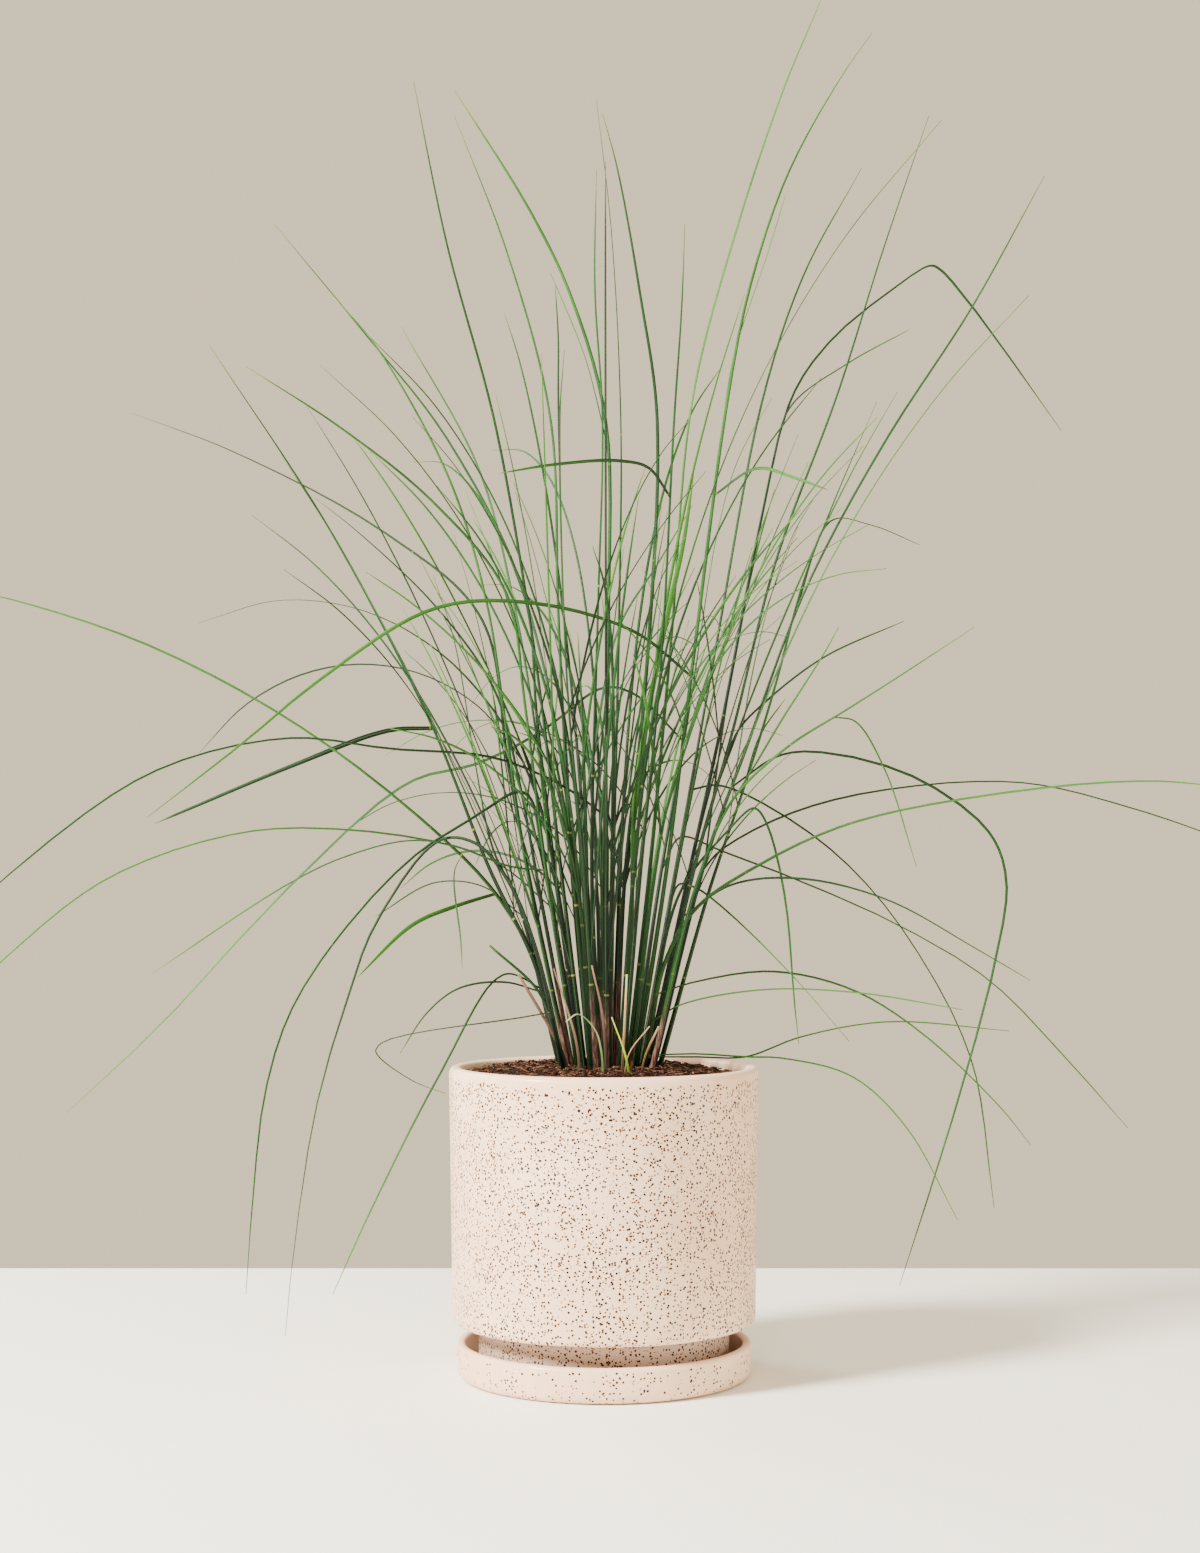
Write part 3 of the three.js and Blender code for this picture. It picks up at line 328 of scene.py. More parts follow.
def turned_piece(name, rings, sides, filled):
    """rings are (radius, height) in millimetres. A filled piece starts and ends with a disc."""
    deselect_all()
    radius, height = rings[0]
    bpy.ops.mesh.primitive_circle_add(
        vertices=sides, radius=radius * MM, fill_type="NGON" if filled else "NOTHING",
        location=(0, 0, height * MM))
    piece = bpy.context.object
    piece.name = piece.data.name = name
    bpy.ops.object.transform_apply(location=True, rotation=False, scale=False)
    bpy.ops.object.mode_set(mode="EDIT")
    bpy.ops.mesh.select_all(action="SELECT")
    for next_radius, next_height in rings[1:]:
        rise = (next_height - height) * MM
        bpy.ops.mesh.extrude_region_move(TRANSFORM_OT_translate={"value": (0, 0, rise)})
        widen = next_radius / radius
        if abs(widen - 1) > 1e-6:
            bpy.ops.transform.resize(value=(widen, widen, 1), center_override=(0, 0, next_height * MM))
        radius, height = next_radius, next_height
    bpy.ops.mesh.select_all(action="SELECT")
    bpy.ops.mesh.remove_doubles(threshold=1e-6)
    bpy.ops.mesh.normals_make_consistent(inside=False)
    bpy.ops.object.mode_set(mode="OBJECT")
    bpy.ops.object.shade_smooth_by_angle(angle=math.radians(40))
    return piece


def rounded(corner, before, after, steps=7):
    """Rings round a corner, on the curve that it pulls towards itself. before and after say
    where the curve starts and ends, as steps out and up from the corner."""
    rings = []
    for i in range(steps + 1):
        s = i / steps
        rings.append(tuple(c + (1 - s) ** 2 * b + s * s * a for c, b, a in zip(corner, before, after)))
    return rings


def finish_piece(piece, nodes, material):
    """The last step for every piece: its finish, its body, and the solid that it stands for."""
    if material:
        piece.data.materials.clear()
        piece.data.materials.append(material)
    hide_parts(*nodes)
    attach(piece, "root")
    faces = sum(len(p.vertices) - 2 for p in piece.data.polygons)
    print(piece.name, "triangles:", faces)


print("a turned piece has", TURNED_SIDES, "sides")

# %% Saucer
SAUCER_RADIUS, SAUCER_HEIGHT, SAUCER_WALL = 97, 23, 6.6
SAUCER_BASE, SAUCER_DRAFT, SAUCER_FLOOR = 89, 0.6, 7
SAUCER_CORNER, SAUCER_COVE = 7, 4
DISC_MARGIN, FLOOR_DISC = 3, 60  # the flat discs end short of the curves, which keeps these smooth
lip = SAUCER_WALL / 2
inner = SAUCER_RADIUS - SAUCER_WALL
outer_low, inner_low = SAUCER_RADIUS - SAUCER_DRAFT, inner - SAUCER_DRAFT
saucer_rings = (
    [(SAUCER_BASE - DISC_MARGIN, 0)]
    + rounded((outer_low, 0), (SAUCER_BASE - outer_low, 0), (0, SAUCER_CORNER))
    + rounded((SAUCER_RADIUS, SAUCER_HEIGHT), (0, -lip), (-lip, 0))
    + rounded((inner, SAUCER_HEIGHT), (lip, 0), (0, -lip))[1:]
    + rounded((inner_low, SAUCER_FLOOR), (0, SAUCER_COVE), (-SAUCER_COVE, 0))
    + [(FLOOR_DISC, SAUCER_FLOOR)]
)
saucer = turned_piece("glazed_saucer", saucer_rings, TURNED_SIDES, True)
finish_piece(saucer, ["saucer"], saucer_glaze)

# %% Pot
POT_RIM, POT_WALL, POT_TOP, LIP_DEPTH = 101.5, 9, 202.3, 5.5
BODY_BASE, BODY_BOTTOM, FOOT_RADIUS = 99.2, 36, 82
DRAIN_RADIUS, POT_BASE, POT_FLOOR = 7, 7.3, 16.3
FOOT_EDGE, CHAMFER, LEDGE_DROP = 2.5, 4, 6
COVE, COVE_PULL = 5, 0.4
BODY_EDGE, BODY_EDGE_UP, BODY_FLARE = 3.7, (0.05, 4), [(99.9, 90), (100.8, 150)]
half_wall = POT_WALL / 2
well = FOOT_RADIUS - POT_WALL
ledge = BODY_BOTTOM + POT_WALL
pot_rings = (
    [(DRAIN_RADIUS, POT_BASE)]
    + rounded((FOOT_RADIUS, POT_BASE), (-FOOT_EDGE, 0), (0, FOOT_EDGE), 4)
    + rounded((FOOT_RADIUS + COVE_PULL, BODY_BOTTOM), (-COVE_PULL, -COVE), (COVE - COVE_PULL, 0), 4)
    + rounded((BODY_BASE, BODY_BOTTOM), (-BODY_EDGE, 0), BODY_EDGE_UP, 6)
    + BODY_FLARE
    + rounded((POT_RIM, POT_TOP), (0, -LIP_DEPTH), (-half_wall, 0))
    + rounded((POT_RIM - POT_WALL, POT_TOP), (half_wall, 0), (0, -LIP_DEPTH))[1:]
    + [(BODY_BASE - POT_WALL, ledge), (well, ledge - LEDGE_DROP)]
    + [(well, POT_FLOOR + CHAMFER), (well - CHAMFER, POT_FLOOR)]
    + [(DRAIN_RADIUS, POT_FLOOR), (DRAIN_RADIUS, POT_BASE)]
)
pot = turned_piece("speckled_pot", pot_rings, TURNED_SIDES, False)
finish_piece(pot, ["pot"], pot_glaze)

# %% [markdown]
# ## Potting mix
# The soil is a damp mix of dark crumbs, bark chips and coir fibres, heaped a little round the
# clump. A flat disc with a bumpy finish would look painted on from above, so the crumbs are real
# here. The body fills the pot. Rings drawn inwards over the top give it enough points to raise
# into crumbs, and loose crumbs, chips and fibres lie on it. Each is modelled once and copied.

# %% Soil body
SOIL_EDGE, SOIL_RADIUS = 194, 91.8
SOIL_MOUND, SOIL_FLATNESS = 8, 4
SOIL_TILT, SOIL_ROUGH = 0.02, 0.65
RIPPLE_ACROSS, RIPPLE_ALONG = (0.31, 1.7, 0.23), (0.37, 1.3, 0.29)
CLUMP_X = 2
SOIL_FOOT = [(68, 16.7), (72.4, 20.6), (72.4, 39.4), (89.6, 45.4)]
SOIL_SIDES, TOP_RINGS, RING_STEP = 180, 46, 2

# How wide and how high the relief is, in millimetres. It fades out towards the pot's wall. A
# crumb's middle is raised, and its edge is where it falls below the level of the soil.
CRUMB_WIDE, CRUMB_HIGH, CRUMB_EDGE = 3.6, 1.6, 0.55
GRIT_WIDE, GRIT_HIGH = 1.5, 0.35
LUMP_WIDE, LUMP_HIGH = 11, 1.3
FADE_WIDE = 3


def ripple(u, v, waves, sway, sway_waves):
    """A wave that runs along u and sways to and fro along v."""
    return math.sin(u * waves + sway * math.sin(v * sway_waves))


def soil_level(x, y):
    """The soil's height over a place, in millimetres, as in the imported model."""
    out = math.hypot(x - CLUMP_X, y) / (POT_RIM - POT_WALL)
    mound = SOIL_MOUND * max(0, 1 - out**SOIL_FLATNESS) - SOIL_TILT * x
    rough = SOIL_ROUGH * (ripple(x, y, *RIPPLE_ACROSS) + ripple(y, x, *RIPPLE_ALONG))
    return SOIL_EDGE + mound + rough


top_rings = [(SOIL_RADIUS - RING_STEP * i, SOIL_EDGE) for i in range(TOP_RINGS)]
soil = turned_piece("potting_mix", SOIL_FOOT + top_rings, SOIL_SIDES, True)
bpy.ops.object.mode_set(mode="EDIT")
bpy.ops.mesh.select_all(action="DESELECT")
just_under = SOIL_EDGE - 0.1
sheet = bmesh.from_edit_mesh(soil.data)
for face in sheet.faces:
    if min(v.co.z for v in face.verts) > just_under * MM:
        face.select_set(True)
bmesh.update_edit_mesh(soil.data)
bpy.ops.mesh.subdivide(number_cuts=1)
bpy.ops.object.mode_set(mode="OBJECT")
for vertex in soil.data.vertices:
    x, y, z = vertex.co / MM
    if z > just_under:
        crumb = CRUMB_EDGE - noise.voronoi(Vector((x, y, 0)) / CRUMB_WIDE)[0][0]
        grit = noise.noise(Vector((x, y, 5)) / GRIT_WIDE)
        lump = noise.noise(Vector((x, y, 9)) / LUMP_WIDE)
        relief = CRUMB_HIGH * crumb + GRIT_HIGH * grit + LUMP_HIGH * lump
        fade = min(1, max(0, (SOIL_RADIUS - math.hypot(x, y)) / FADE_WIDE))
        vertex.co.z = (soil_level(x, y) + fade * relief) * MM
print("soil points:", len(soil.data.vertices))

# %% [markdown]
# Damp peat and bark are dark red-brown and quite dull, since water fills the rough surface only
# in part. Every bit has a shade of its own: a Voronoi pattern gives the body that, cell by cell,
# and the loose bits keep theirs in an attribute named tone. One material with a random value per
# object would do it too, but the bits are joined into one piece.

# %% Potting mix, bark and fibre finishes
CELL_SHARE, GRIT_SHARE = 0.4, 0.5


def rough_brown(name, stops, grain, depth):
    """grain is the width of the shaded cells and depth that of the relief, in millimetres."""
    material, add, shader = new_material(name, Roughness=0.95, IOR=1.4, Specular_IOR_Level=0.12)
    place = add("TexCoord").outputs["Object"]
    cells = add("TexVoronoi", place, Scale=1 / (grain * MM))
    chance = add("SeparateColor", cells.outputs["Color"])
    fineness = 1 / (0.6 * grain * MM)
    grit = add("TexNoise", place, Scale=fineness, Detail=5.0, Roughness=0.7)
    own = add("Attribute attribute_name=tone").outputs["Fac"]
    shade = add("Math MULTIPLY_ADD", chance, CELL_SHARE, own)
    shade = add("Math MULTIPLY_ADD", grit, GRIT_SHARE, shade)
    colour = add("ValToRGB", shade, stops=stops)
    bump = add("Bump", Strength=0.9, Distance=depth * MM, Height=grit)
    connect(shader, colour, bump)
    return material


MIX_SHADES = [(0.2, "#0a0504"), (0.45, "#1c110b"), (0.62, "#382218"), (0.78, "#5c3e2c"), (1.0, "#9a7a62")]
BARK_SHADES = [(0.2, "#140b08"), (0.5, "#331f16"), (0.8, "#5c4030")]
FIBRE_SHADES = [(0.2, "#2c1a13"), (0.6, "#674836"), (0.9, "#a38066")]
mix_brown = rough_brown("potting mix, damp", MIX_SHADES, grain=1.6, depth=0.6)
bark_brown = rough_brown("bark chip", BARK_SHADES, grain=1.5, depth=0.3)
fibre_tan = rough_brown("coir fibre", FIBRE_SHADES, grain=2.0, depth=0.1)
soil.data.materials.append(mix_brown)
print("soil finishes:", mix_brown.name, "/", bark_brown.name, "/", fibre_tan.name)


# %% One crumb, one clod, one chip and one fibre
def modelled_once(name, material=None):
    """Names the new object, gives it any finish of its own and starts shaping it."""
    piece = bpy.context.object
    piece.name = piece.data.name = name
    if material:
        piece.data.materials.append(material)
    bpy.ops.object.transform_apply(location=True, rotation=True, scale=True)
    bpy.ops.object.mode_set(mode="EDIT")
    return piece


def crumb_of(name, cuts):
    """A lump of soil: a ball of twenty faces, cut finer for the larger lumps, made uneven."""
    deselect_all()
    bpy.ops.mesh.primitive_ico_sphere_add(subdivisions=1, radius=0.5)
    lump = modelled_once(name, mix_brown)
    if cuts:
        bpy.ops.mesh.subdivide(number_cuts=cuts, smoothness=0.6)
    bpy.ops.transform.vertex_random(offset=0.13, seed=4)
    bpy.ops.transform.resize(value=(1, 0.85, 0.7))
    bpy.ops.object.mode_set(mode="OBJECT")
    return lump


def cut_lengthwise(piece, axis, cuts):
    """Cuts the edges along one axis (0 is X, 2 is Z) of a piece in edit mode into short lengths."""
    bpy.ops.mesh.select_all(action="DESELECT")
    shell = bmesh.from_edit_mesh(piece.data)
    for edge in shell.edges:
        edge.select_set(abs(edge.verts[0].co[axis] - edge.verts[1].co[axis]) > 0.5)
    bmesh.update_edit_mesh(piece.data)
    bpy.ops.mesh.subdivide(number_cuts=cuts)
    bpy.ops.object.mode_set(mode="OBJECT")


crumb_shape = crumb_of("crumb", 0)
clod_shape = crumb_of("clod", 1)
deselect_all()
bpy.ops.mesh.primitive_cube_add(size=1, scale=(1, 0.42, 0.16))
bark_shape = modelled_once("bark", bark_brown)
bpy.ops.mesh.subdivide(number_cuts=1)
bpy.ops.transform.vertex_random(offset=0.05, seed=9)
bpy.ops.object.mode_set(mode="OBJECT")
deselect_all()
bpy.ops.mesh.primitive_cylinder_add(vertices=4, radius=0.5, depth=1, rotation=(0, math.pi / 2, 0))
fibre_shape = modelled_once("fibre", fibre_tan)
cut_lengthwise(fibre_shape, 0, 6)
bit_shapes = (crumb_shape, clod_shape, bark_shape, fibre_shape)
print("points in each bit:", [len(shape.data.vertices) for shape in bit_shapes])

# %% Scattering the bits
CRUMBS, CLODS, CHIPS, FIBRES = 900, 50, 560, 420
FIBRE_THICK = 0.36
CLUMP_FOOT, BITS_REACH, PULL_REACH = 33, 90.5, 92
TILTS = (("X", 0.35), ("Y", 0.3))
luck = random.Random(77)
bits = []


def lay_bit(shape, size, sunk, bend=0.0):
    """One copy on the soil, outside the clump's foot and inside the pot's wall. The circle that
    it lies on is centred on the clump near the clump, and on the pot near the wall."""
    reach = BITS_REACH - max(size) / 2
    away = math.sqrt(luck.uniform(CLUMP_FOOT**2, reach**2))
    turn = luck.uniform(0, 2 * math.pi)
    x = CLUMP_X * (1 - away / PULL_REACH) + away * math.cos(turn)
    y = away * math.sin(turn)
    pose = Matrix.Identity(4)
    for axis, most in TILTS:
        pose = pose @ Matrix.Rotation(luck.uniform(-most, most), 4, axis)
    pose = Matrix.Rotation(luck.uniform(0, 2 * math.pi), 4, "Z") @ pose
    place = Vector((x, y, soil_level(x, y) + sunk)) * MM
    bit = bpy.data.objects.new(shape.name, shape.data.copy())
    for vertex in bit.data.vertices:
        u = vertex.co.x
        vertex.co = Vector([a * b for a, b in zip(vertex.co, size)]) * MM
        vertex.co.y += bend * u * u * size[0] * MM
    bit.data.transform(Matrix.Translation(place) @ pose)
    tone = bit.data.attributes.new("tone", "FLOAT", "POINT")
    tone.data.foreach_set("value", [luck.triangular(-0.1, 0.35, 0.05)] * len(bit.data.vertices))
    bpy.context.scene.collection.objects.link(bit)
    bits.append(bit)


for _ in range(CRUMBS):
    grain = luck.uniform(0.9, 2.2)
    lay_bit(crumb_shape, (grain, grain, grain), 0.9 + 0.15 * grain)
for _ in range(CLODS):
    grain = luck.uniform(2.4, 4.2)
    lay_bit(clod_shape, (grain, grain, grain), 0.6 + 0.1 * grain)
for _ in range(CHIPS):
    chip = luck.uniform(1.6, 4.6)
    lay_bit(bark_shape, (chip, luck.uniform(0.8, 1.2) * chip, chip), luck.uniform(0.9, 1.6))
for _ in range(FIBRES):
    size = (luck.uniform(3, 11), FIBRE_THICK, FIBRE_THICK)
    lay_bit(fibre_shape, size, luck.uniform(0.8, 1.9), luck.uniform(-0.6, 0.6))
for shape in bit_shapes:
    bpy.data.objects.remove(shape)
work_on(soil, *bits)
bpy.ops.object.join()
bpy.ops.object.shade_smooth_by_angle(angle=math.radians(50))
finish_piece(soil, ["soil"], None)

# %% [markdown]
# ## Where each blade runs
# White cloud muhly grows as a tight clump of wiry culms. Each culm carries long blades that leave
# it at a joint and arch outwards. A particle system could scatter grass, but it would not grow
# this plant. So the stems below were drawn over the photograph, as points across and up in
# millimetres as seen from the front, and the same numbers shape the imported model. back is how far
# behind the middle the outermost point lies, and a leaf leaves its stem at the height root. wide
# is a blade's width, and roll turns it about its own line, in degrees.

# %% The drawn stems
STEM_WIDTH = 1.9


def leaf(root, back, wide, seen, roll=None):
    return root, back, wide, seen, roll


def stem(back, seen, *leaves, wide=STEM_WIDTH, roll=None):
    return back, seen, wide, roll, leaves


DRAWN_STEMS = [
    stem(60, [(-45, 268), (-75, 331), (-114, 428), (-180, 554), (-259, 675)],
        leaf(425, -20, 4, [(-142, 422), (-205, 399), (-295, 361)], roll=80),
        leaf(250, -40, 1.6, [(-65, 257), (-95, 253), (-116, 237), (-134, 210)])),
    stem(-110, [(-41, 262), (-71, 315), (-121, 365), (-203, 427), (-301, 479), (-396, 510),
        (-430, 516)],
        leaf(315, -90, 3.2, [(-97, 307), (-125, 295), (-162, 260)], roll=75),
        leaf(250, -90, 1.7, [(-66, 262), (-108, 196), (-155, 103), (-178, 52)]),
        leaf(340, -70, 1.3, [(-98, 330), (-94, 285), (-93, 266)])),
    stem(150, [(-48, 320), (-63, 400), (-80, 495), (-141, 550), (-243, 605), (-309, 630)]),
    stem(-170, [(-38, 330), (-52, 440), (-64, 512), (-111, 571), (-173, 621), (-235, 661)],
        leaf(330, -120, 1.9, [(-62, 333), (-97, 346), (-168, 357), (-238, 355), (-326, 325), (-394, 272),
            (-424, 242)])),
    stem(110, [(-31, 320), (-44, 430), (-52, 510), (-102, 612), (-159, 685), (-216, 754)],
        leaf(300, 130, 1.7, [(-70, 335), (-121, 350), (-168, 340), (-208, 321), (-296, 263)])),
    stem(-60, [(-53, 345), (-65, 430), (-77, 506), (-101, 586), (-148, 672), (-180, 710)]),
    stem(190, [(-34, 340), (-46, 430), (-57, 495), (-81, 591), (-133, 687)],
        leaf(480, 150, 1.8, [(-68, 521), (-83, 560), (-90, 577)])),
    stem(-120, [(-27, 320), (-41, 440), (-52, 516), (-72, 626), (-103, 741), (-125, 848)]),
    stem(70, [(-21, 330), (-30, 500), (-35, 626), (-63, 734), (-98, 825)]),
    stem(-40, [(0, 330), (3, 500), (1, 626), (-22, 708), (-49, 764), (-98, 842)],
        leaf(600, 10, 1.8, [(-5, 640), (-13, 669), (-35, 722)]), wide=2.6),
    stem(-190, [(-13, 330), (-24, 450), (-29, 626), (-26, 672)],
        leaf(560, -150, 1.4, [(-30, 644), (-30, 680), (-32, 714)])),
    stem(60, [(6, 330), (10, 500), (11, 626), (5, 748), (-5, 836)],
        leaf(362, -110, 2.3, [(-24, 384), (-71, 404), (-140, 410), (-208, 417), (-298, 394), (-396, 323),
            (-424, 296)])),
    stem(-90, [(-8, 330), (-4, 500), (-1, 626), (-6, 711), (-5, 790)]),
    stem(-10, [(14, 330), (27, 450), (35, 626), (24, 707), (9, 790), (-1, 827)], wide=2.6),
    stem(-150, [(24, 330), (37, 460), (46, 626), (51, 700), (53, 754)],
        leaf(560, -190, 2.4, [(30, 594), (11, 599), (-30, 597), (-68, 591)], roll=60)),
    stem(0, [(30, 330), (44, 480), (58, 639), (88, 754), (119, 846), (142, 901), (150, 925)]),
    stem(-80, [(41, 330), (60, 480), (81, 639), (96, 714), (121, 788), (155, 850), (176, 880)],
        leaf(600, -60, 1.7, [(85, 667), (108, 737), (119, 773)]),
        leaf(570, -70, 2.6, [(100, 594), (125, 588), (147, 580)], roll=60),
        leaf(455, -160, 2.8, [(20, 487), (-48, 506), (-112, 502), (-187, 455), (-238, 413),
            (-300, 365)], roll=50), wide=2.4),
    stem(130, [(47, 330), (74, 480), (104, 639), (131, 721), (169, 791)],
        leaf(385, 90, 2.3, [(76, 386), (120, 365), (163, 331), (203, 281), (241, 206), (256, 109)]),
        leaf(305, -60, 2, [(49, 321), (60, 319), (79, 305), (125, 260), (161, 218)])),
    stem(-60, [(60, 335), (84, 420), (113, 534), (153, 642), (183, 737), (213, 825)],
        leaf(395, 60, 1.8, [(88, 422), (106, 441), (144, 470), (197, 494)]),
        leaf(300, -70, 1.8, [(84, 321), (129, 325), (186, 311), (244, 279), (280, 258)])),
    stem(90, [(66, 335), (95, 415), (132, 514), (184, 611), (241, 699), (289, 786)],
        leaf(330, 150, 2, [(76, 343), (118, 366), (177, 382), (273, 388), (347, 371), (420, 346)]),
        leaf(385, 60, 2.2, [(116, 406), (150, 407), (207, 390), (253, 355), (264, 324), (257, 272),
            (230, 172), (194, 58)]),
        leaf(500, 130, 1.6, [(148, 559), (175, 557), (207, 544)])),
    stem(170, [(54, 320), (78, 430), (103, 560), (123, 640), (148, 677), (190, 712), (214, 727),
        (220, 725), (241, 701), (300, 619)],
        leaf(600, 60, 1.6, [(122, 634), (160, 663), (200, 685)]), wide=2.6),
    stem(-70, [(18, 300), (20, 375), (26, 416), (36, 470), (44, 508), (52, 544),
        (59, 592)], wide=5, roll=0),
    stem(40, [(-42, 315), (-57, 395), (-72, 449), (-110, 503), (-161, 552), (-190, 575)]),
    stem(-80, [(-31, 290), (-40, 340), (-48, 377), (-56, 382), (-84, 366), (-123, 341), (-166, 297),
        (-204, 241), (-222, 186), (-231, 107), (-235, 52)]),
    stem(120, [(-44, 276), (-62, 322), (-84, 348), (-108, 350), (-150, 295), (-168, 247), (-189, 174),
        (-205, 69), (-209, 25)],
        leaf(240, 130, 1.3, [(-150, 212), (-127, 193), (-104, 184)])),
    stem(-60, [(40, 270), (60, 305), (100, 333), (161, 361), (261, 381), (357, 389), (418, 384)],
        leaf(232, -80, 1.5, [(50, 242), (104, 252), (167, 250), (235, 239)]),
        leaf(250, 80, 1.7, [(59, 257), (111, 264), (163, 252), (208, 224), (260, 175), (280, 150)]),
        leaf(209, 60, 1.5, [(60, 208), (93, 208), (129, 221), (186, 231), (266, 225)]),
        leaf(210, 30, 1.4, [(60, 210), (93, 208), (118, 207), (163, 195), (199, 161), (232, 101)])),
    stem(220, [(36, 320), (55, 430), (74, 550), (88, 600), (110, 640)],
        leaf(330, 150, 2.1, [(50, 352), (77, 343), (127, 324), (194, 294), (253, 258), (305, 205),
            (344, 161)]),
        leaf(420, 60, 2.4, [(20, 446), (-1, 450), (-40, 422), (-81, 401), (-128, 388), (-205, 321),
            (-292, 228), (-353, 171)])),
    stem(-30, [(44, 300), (55, 325), (80, 355), (97, 371), (101, 370), (108, 358), (119, 311),
        (125, 243), (128, 216)]),
    stem(-100, [(61, 322), (84, 376), (120, 411), (158, 435), (188, 454), (243, 490)],
        leaf(425, -110, 1.3, [(165, 428), (184, 397), (205, 333)]),
        leaf(378, -90, 1.6, [(100, 401), (116, 428), (144, 472), (154, 490)])),
    stem(30, [(-56, 308), (-73, 345), (-84, 398), (-98, 480), (-112, 524)],
        leaf(300, 60, 1.6, [(-80, 320), (-112, 322), (-150, 300)])),
    stem(-20, [(70, 320), (92, 385), (112, 450), (131, 520), (150, 570), (179, 638)],
        leaf(380, 30, 1.5, [(102, 418), (119, 443)])),
    stem(40, [(-16, 330), (-5, 418), (10, 490), (35, 531), (58, 570)]),
]
print("drawn stems:", len(DRAWN_STEMS))

# %% [markdown]
# A blade passes smoothly through its points. A Catmull-Rom curve does that, and with square-root
# spacing it never loops, while a Bezier curve would need handles for every point. A drawn point
# is only a direction from the eye until it gets a depth, so it slides along that line of sight
# to the depth where the blade passes.

# %% From a drawn point to a place
CLUMP_APEX, CLUMP_SLOPE, CLUMP_DEPTH = 80, 0.25, 1.18
CROWN_SHARE = 0.3
STEM_END, SOIL_EXIT = 182, 214
WIDE_REACH = 200
LATE_BEND = 1.6
DEGREE = math.pi / 180


def at_depth(across, up, depth):
    reach = (depth - EYE[1]) / -EYE[1]
    return np.array([EYE[0] + (across - EYE[0]) * reach, depth, EYE[2] + (up - EYE[2]) * reach])


def seen_from_eye(place):
    """The drawn point that a place is seen at: at_depth the other way round."""
    reach = (place[1] - EYE[1]) / -EYE[1]
    return (EYE[0] + (place[0] - EYE[0]) / reach, EYE[2] + (place[2] - EYE[2]) / reach)


def ways_out(seen):
    """How far out each seen point is: from 0 at the root to 1 at the outermost."""
    seen = np.array(seen, float)
    lengths = np.append(0, np.cumsum(np.hypot(*np.diff(seen, axis=0).T)))
    aside = abs(seen[:, 0] - seen[0, 0])
    share = min(1, aside.max() / WIDE_REACH)
    return share * aside / aside.max() + (1 - share) * (lengths / lengths[-1]) ** LATE_BEND


def seen_to_places(seen, near, far):
    """Places at depths from near, at the first drawn point, to far, at the outermost."""
    return [at_depth(x, z, near + (far - near) * out) for (x, z), out in zip(seen, ways_out(seen))]


def culm_point(crown, level):
    """Where a culm that leaves the clump at the crown passes a lower level."""
    share = (level - CLUMP_APEX) / (crown[2] - CLUMP_APEX)
    return np.array([CLUMP_X + (crown[0] - CLUMP_X) * share, crown[1] * share, level])


print("the eye is", -EYE[1], "mm in front of the pot's middle")

# %% Curves through places
SPAN_STEPS = 8
ARCH_POINTS, ARCH_STEPS = 6, 5


def smooth_way(points, first_span=0):
    """Places along the curve through the points; spans before first_span stay straight."""
    points = [np.array(p, float) for p in points]
    padded = [2 * points[0] - points[1], *points, 2 * points[-1] - points[-2]]
    places = points[:first_span]
    for i in range(first_span, len(points) - 1):
        p0, p1, p2, p3 = padded[i : i + 4]
        d0, d1, d2 = (math.sqrt(np.linalg.norm(b - a)) for a, b in ((p0, p1), (p1, p2), (p2, p3)))
        leave = ((p1 - p0) / d0 - (p2 - p0) / (d0 + d1) + (p2 - p1) / d1) * d1
        arrive = ((p2 - p1) / d1 - (p3 - p1) / (d1 + d2) + (p3 - p2) / d2) * d1
        square = -3 * p1 + 3 * p2 - 2 * leave - arrive
        cube = 2 * p1 - 2 * p2 + leave + arrive
        for k in range(SPAN_STEPS):
            w = k / SPAN_STEPS
            places.append(p1 + leave * w + square * w**2 + cube * w**3)
    return np.array(places + [points[-1]])


def out_of_soil(crown, points):
    """A stem's whole line: straight out of the soil to the crown, then along the points."""
    return smooth_way([culm_point(crown, STEM_END), culm_point(crown, SOIL_EXIT), *points], 1)


def at_height(places, height):
    for low, high in zip(places, places[1:]):
        if low[2] <= height < high[2]:
            return low + (high - low) * (height - low[2]) / (high[2] - low[2])
    return places[-2]


def arch_points(start, azimuth, lean, droop, length, power, twist):
    """A blade whose lean from upright grows along its length, from lean to droop."""
    points, at, steps = [start], np.array(start, float), ARCH_POINTS * ARCH_STEPS
    for i in range(steps):
        s = (i + 0.5) / steps
        angle, turn = lean + (droop - lean) * s**power, azimuth + twist * s
        way = [math.sin(angle) * math.cos(turn), math.sin(angle) * math.sin(turn), math.cos(angle)]
        at = at + np.array(way) * length / steps
        if (i + 1) % ARCH_STEPS == 0:
            points.append(at)
    return points


print("places on a curve of four points:", len(smooth_way([(0, 0, 0), (0, 1, 1), (0, 1, 2), (1, 1, 3)])))

# %% [markdown]
# ## Which way each blade took
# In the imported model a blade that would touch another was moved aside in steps, until it was
# clear. The steps are tried here in the same order, and the first whose curve lies on the packed
# solid is the one that was taken. So the finer blade stands where its solid is. Reading the
# solid's corners back would give the place too, but only as coarse as the solid is.

# %% Finding the taken step
MOST_SHIFTS = 30
SHIFTS = [0] + [side * i for i in range(1, MOST_SHIFTS + 1) for side in (1, -1)]
CHECKED_PLACES, ON_SOLID = 7, 1.2
states = dict(stems=20411, inner_leaves=7331)
misses = []


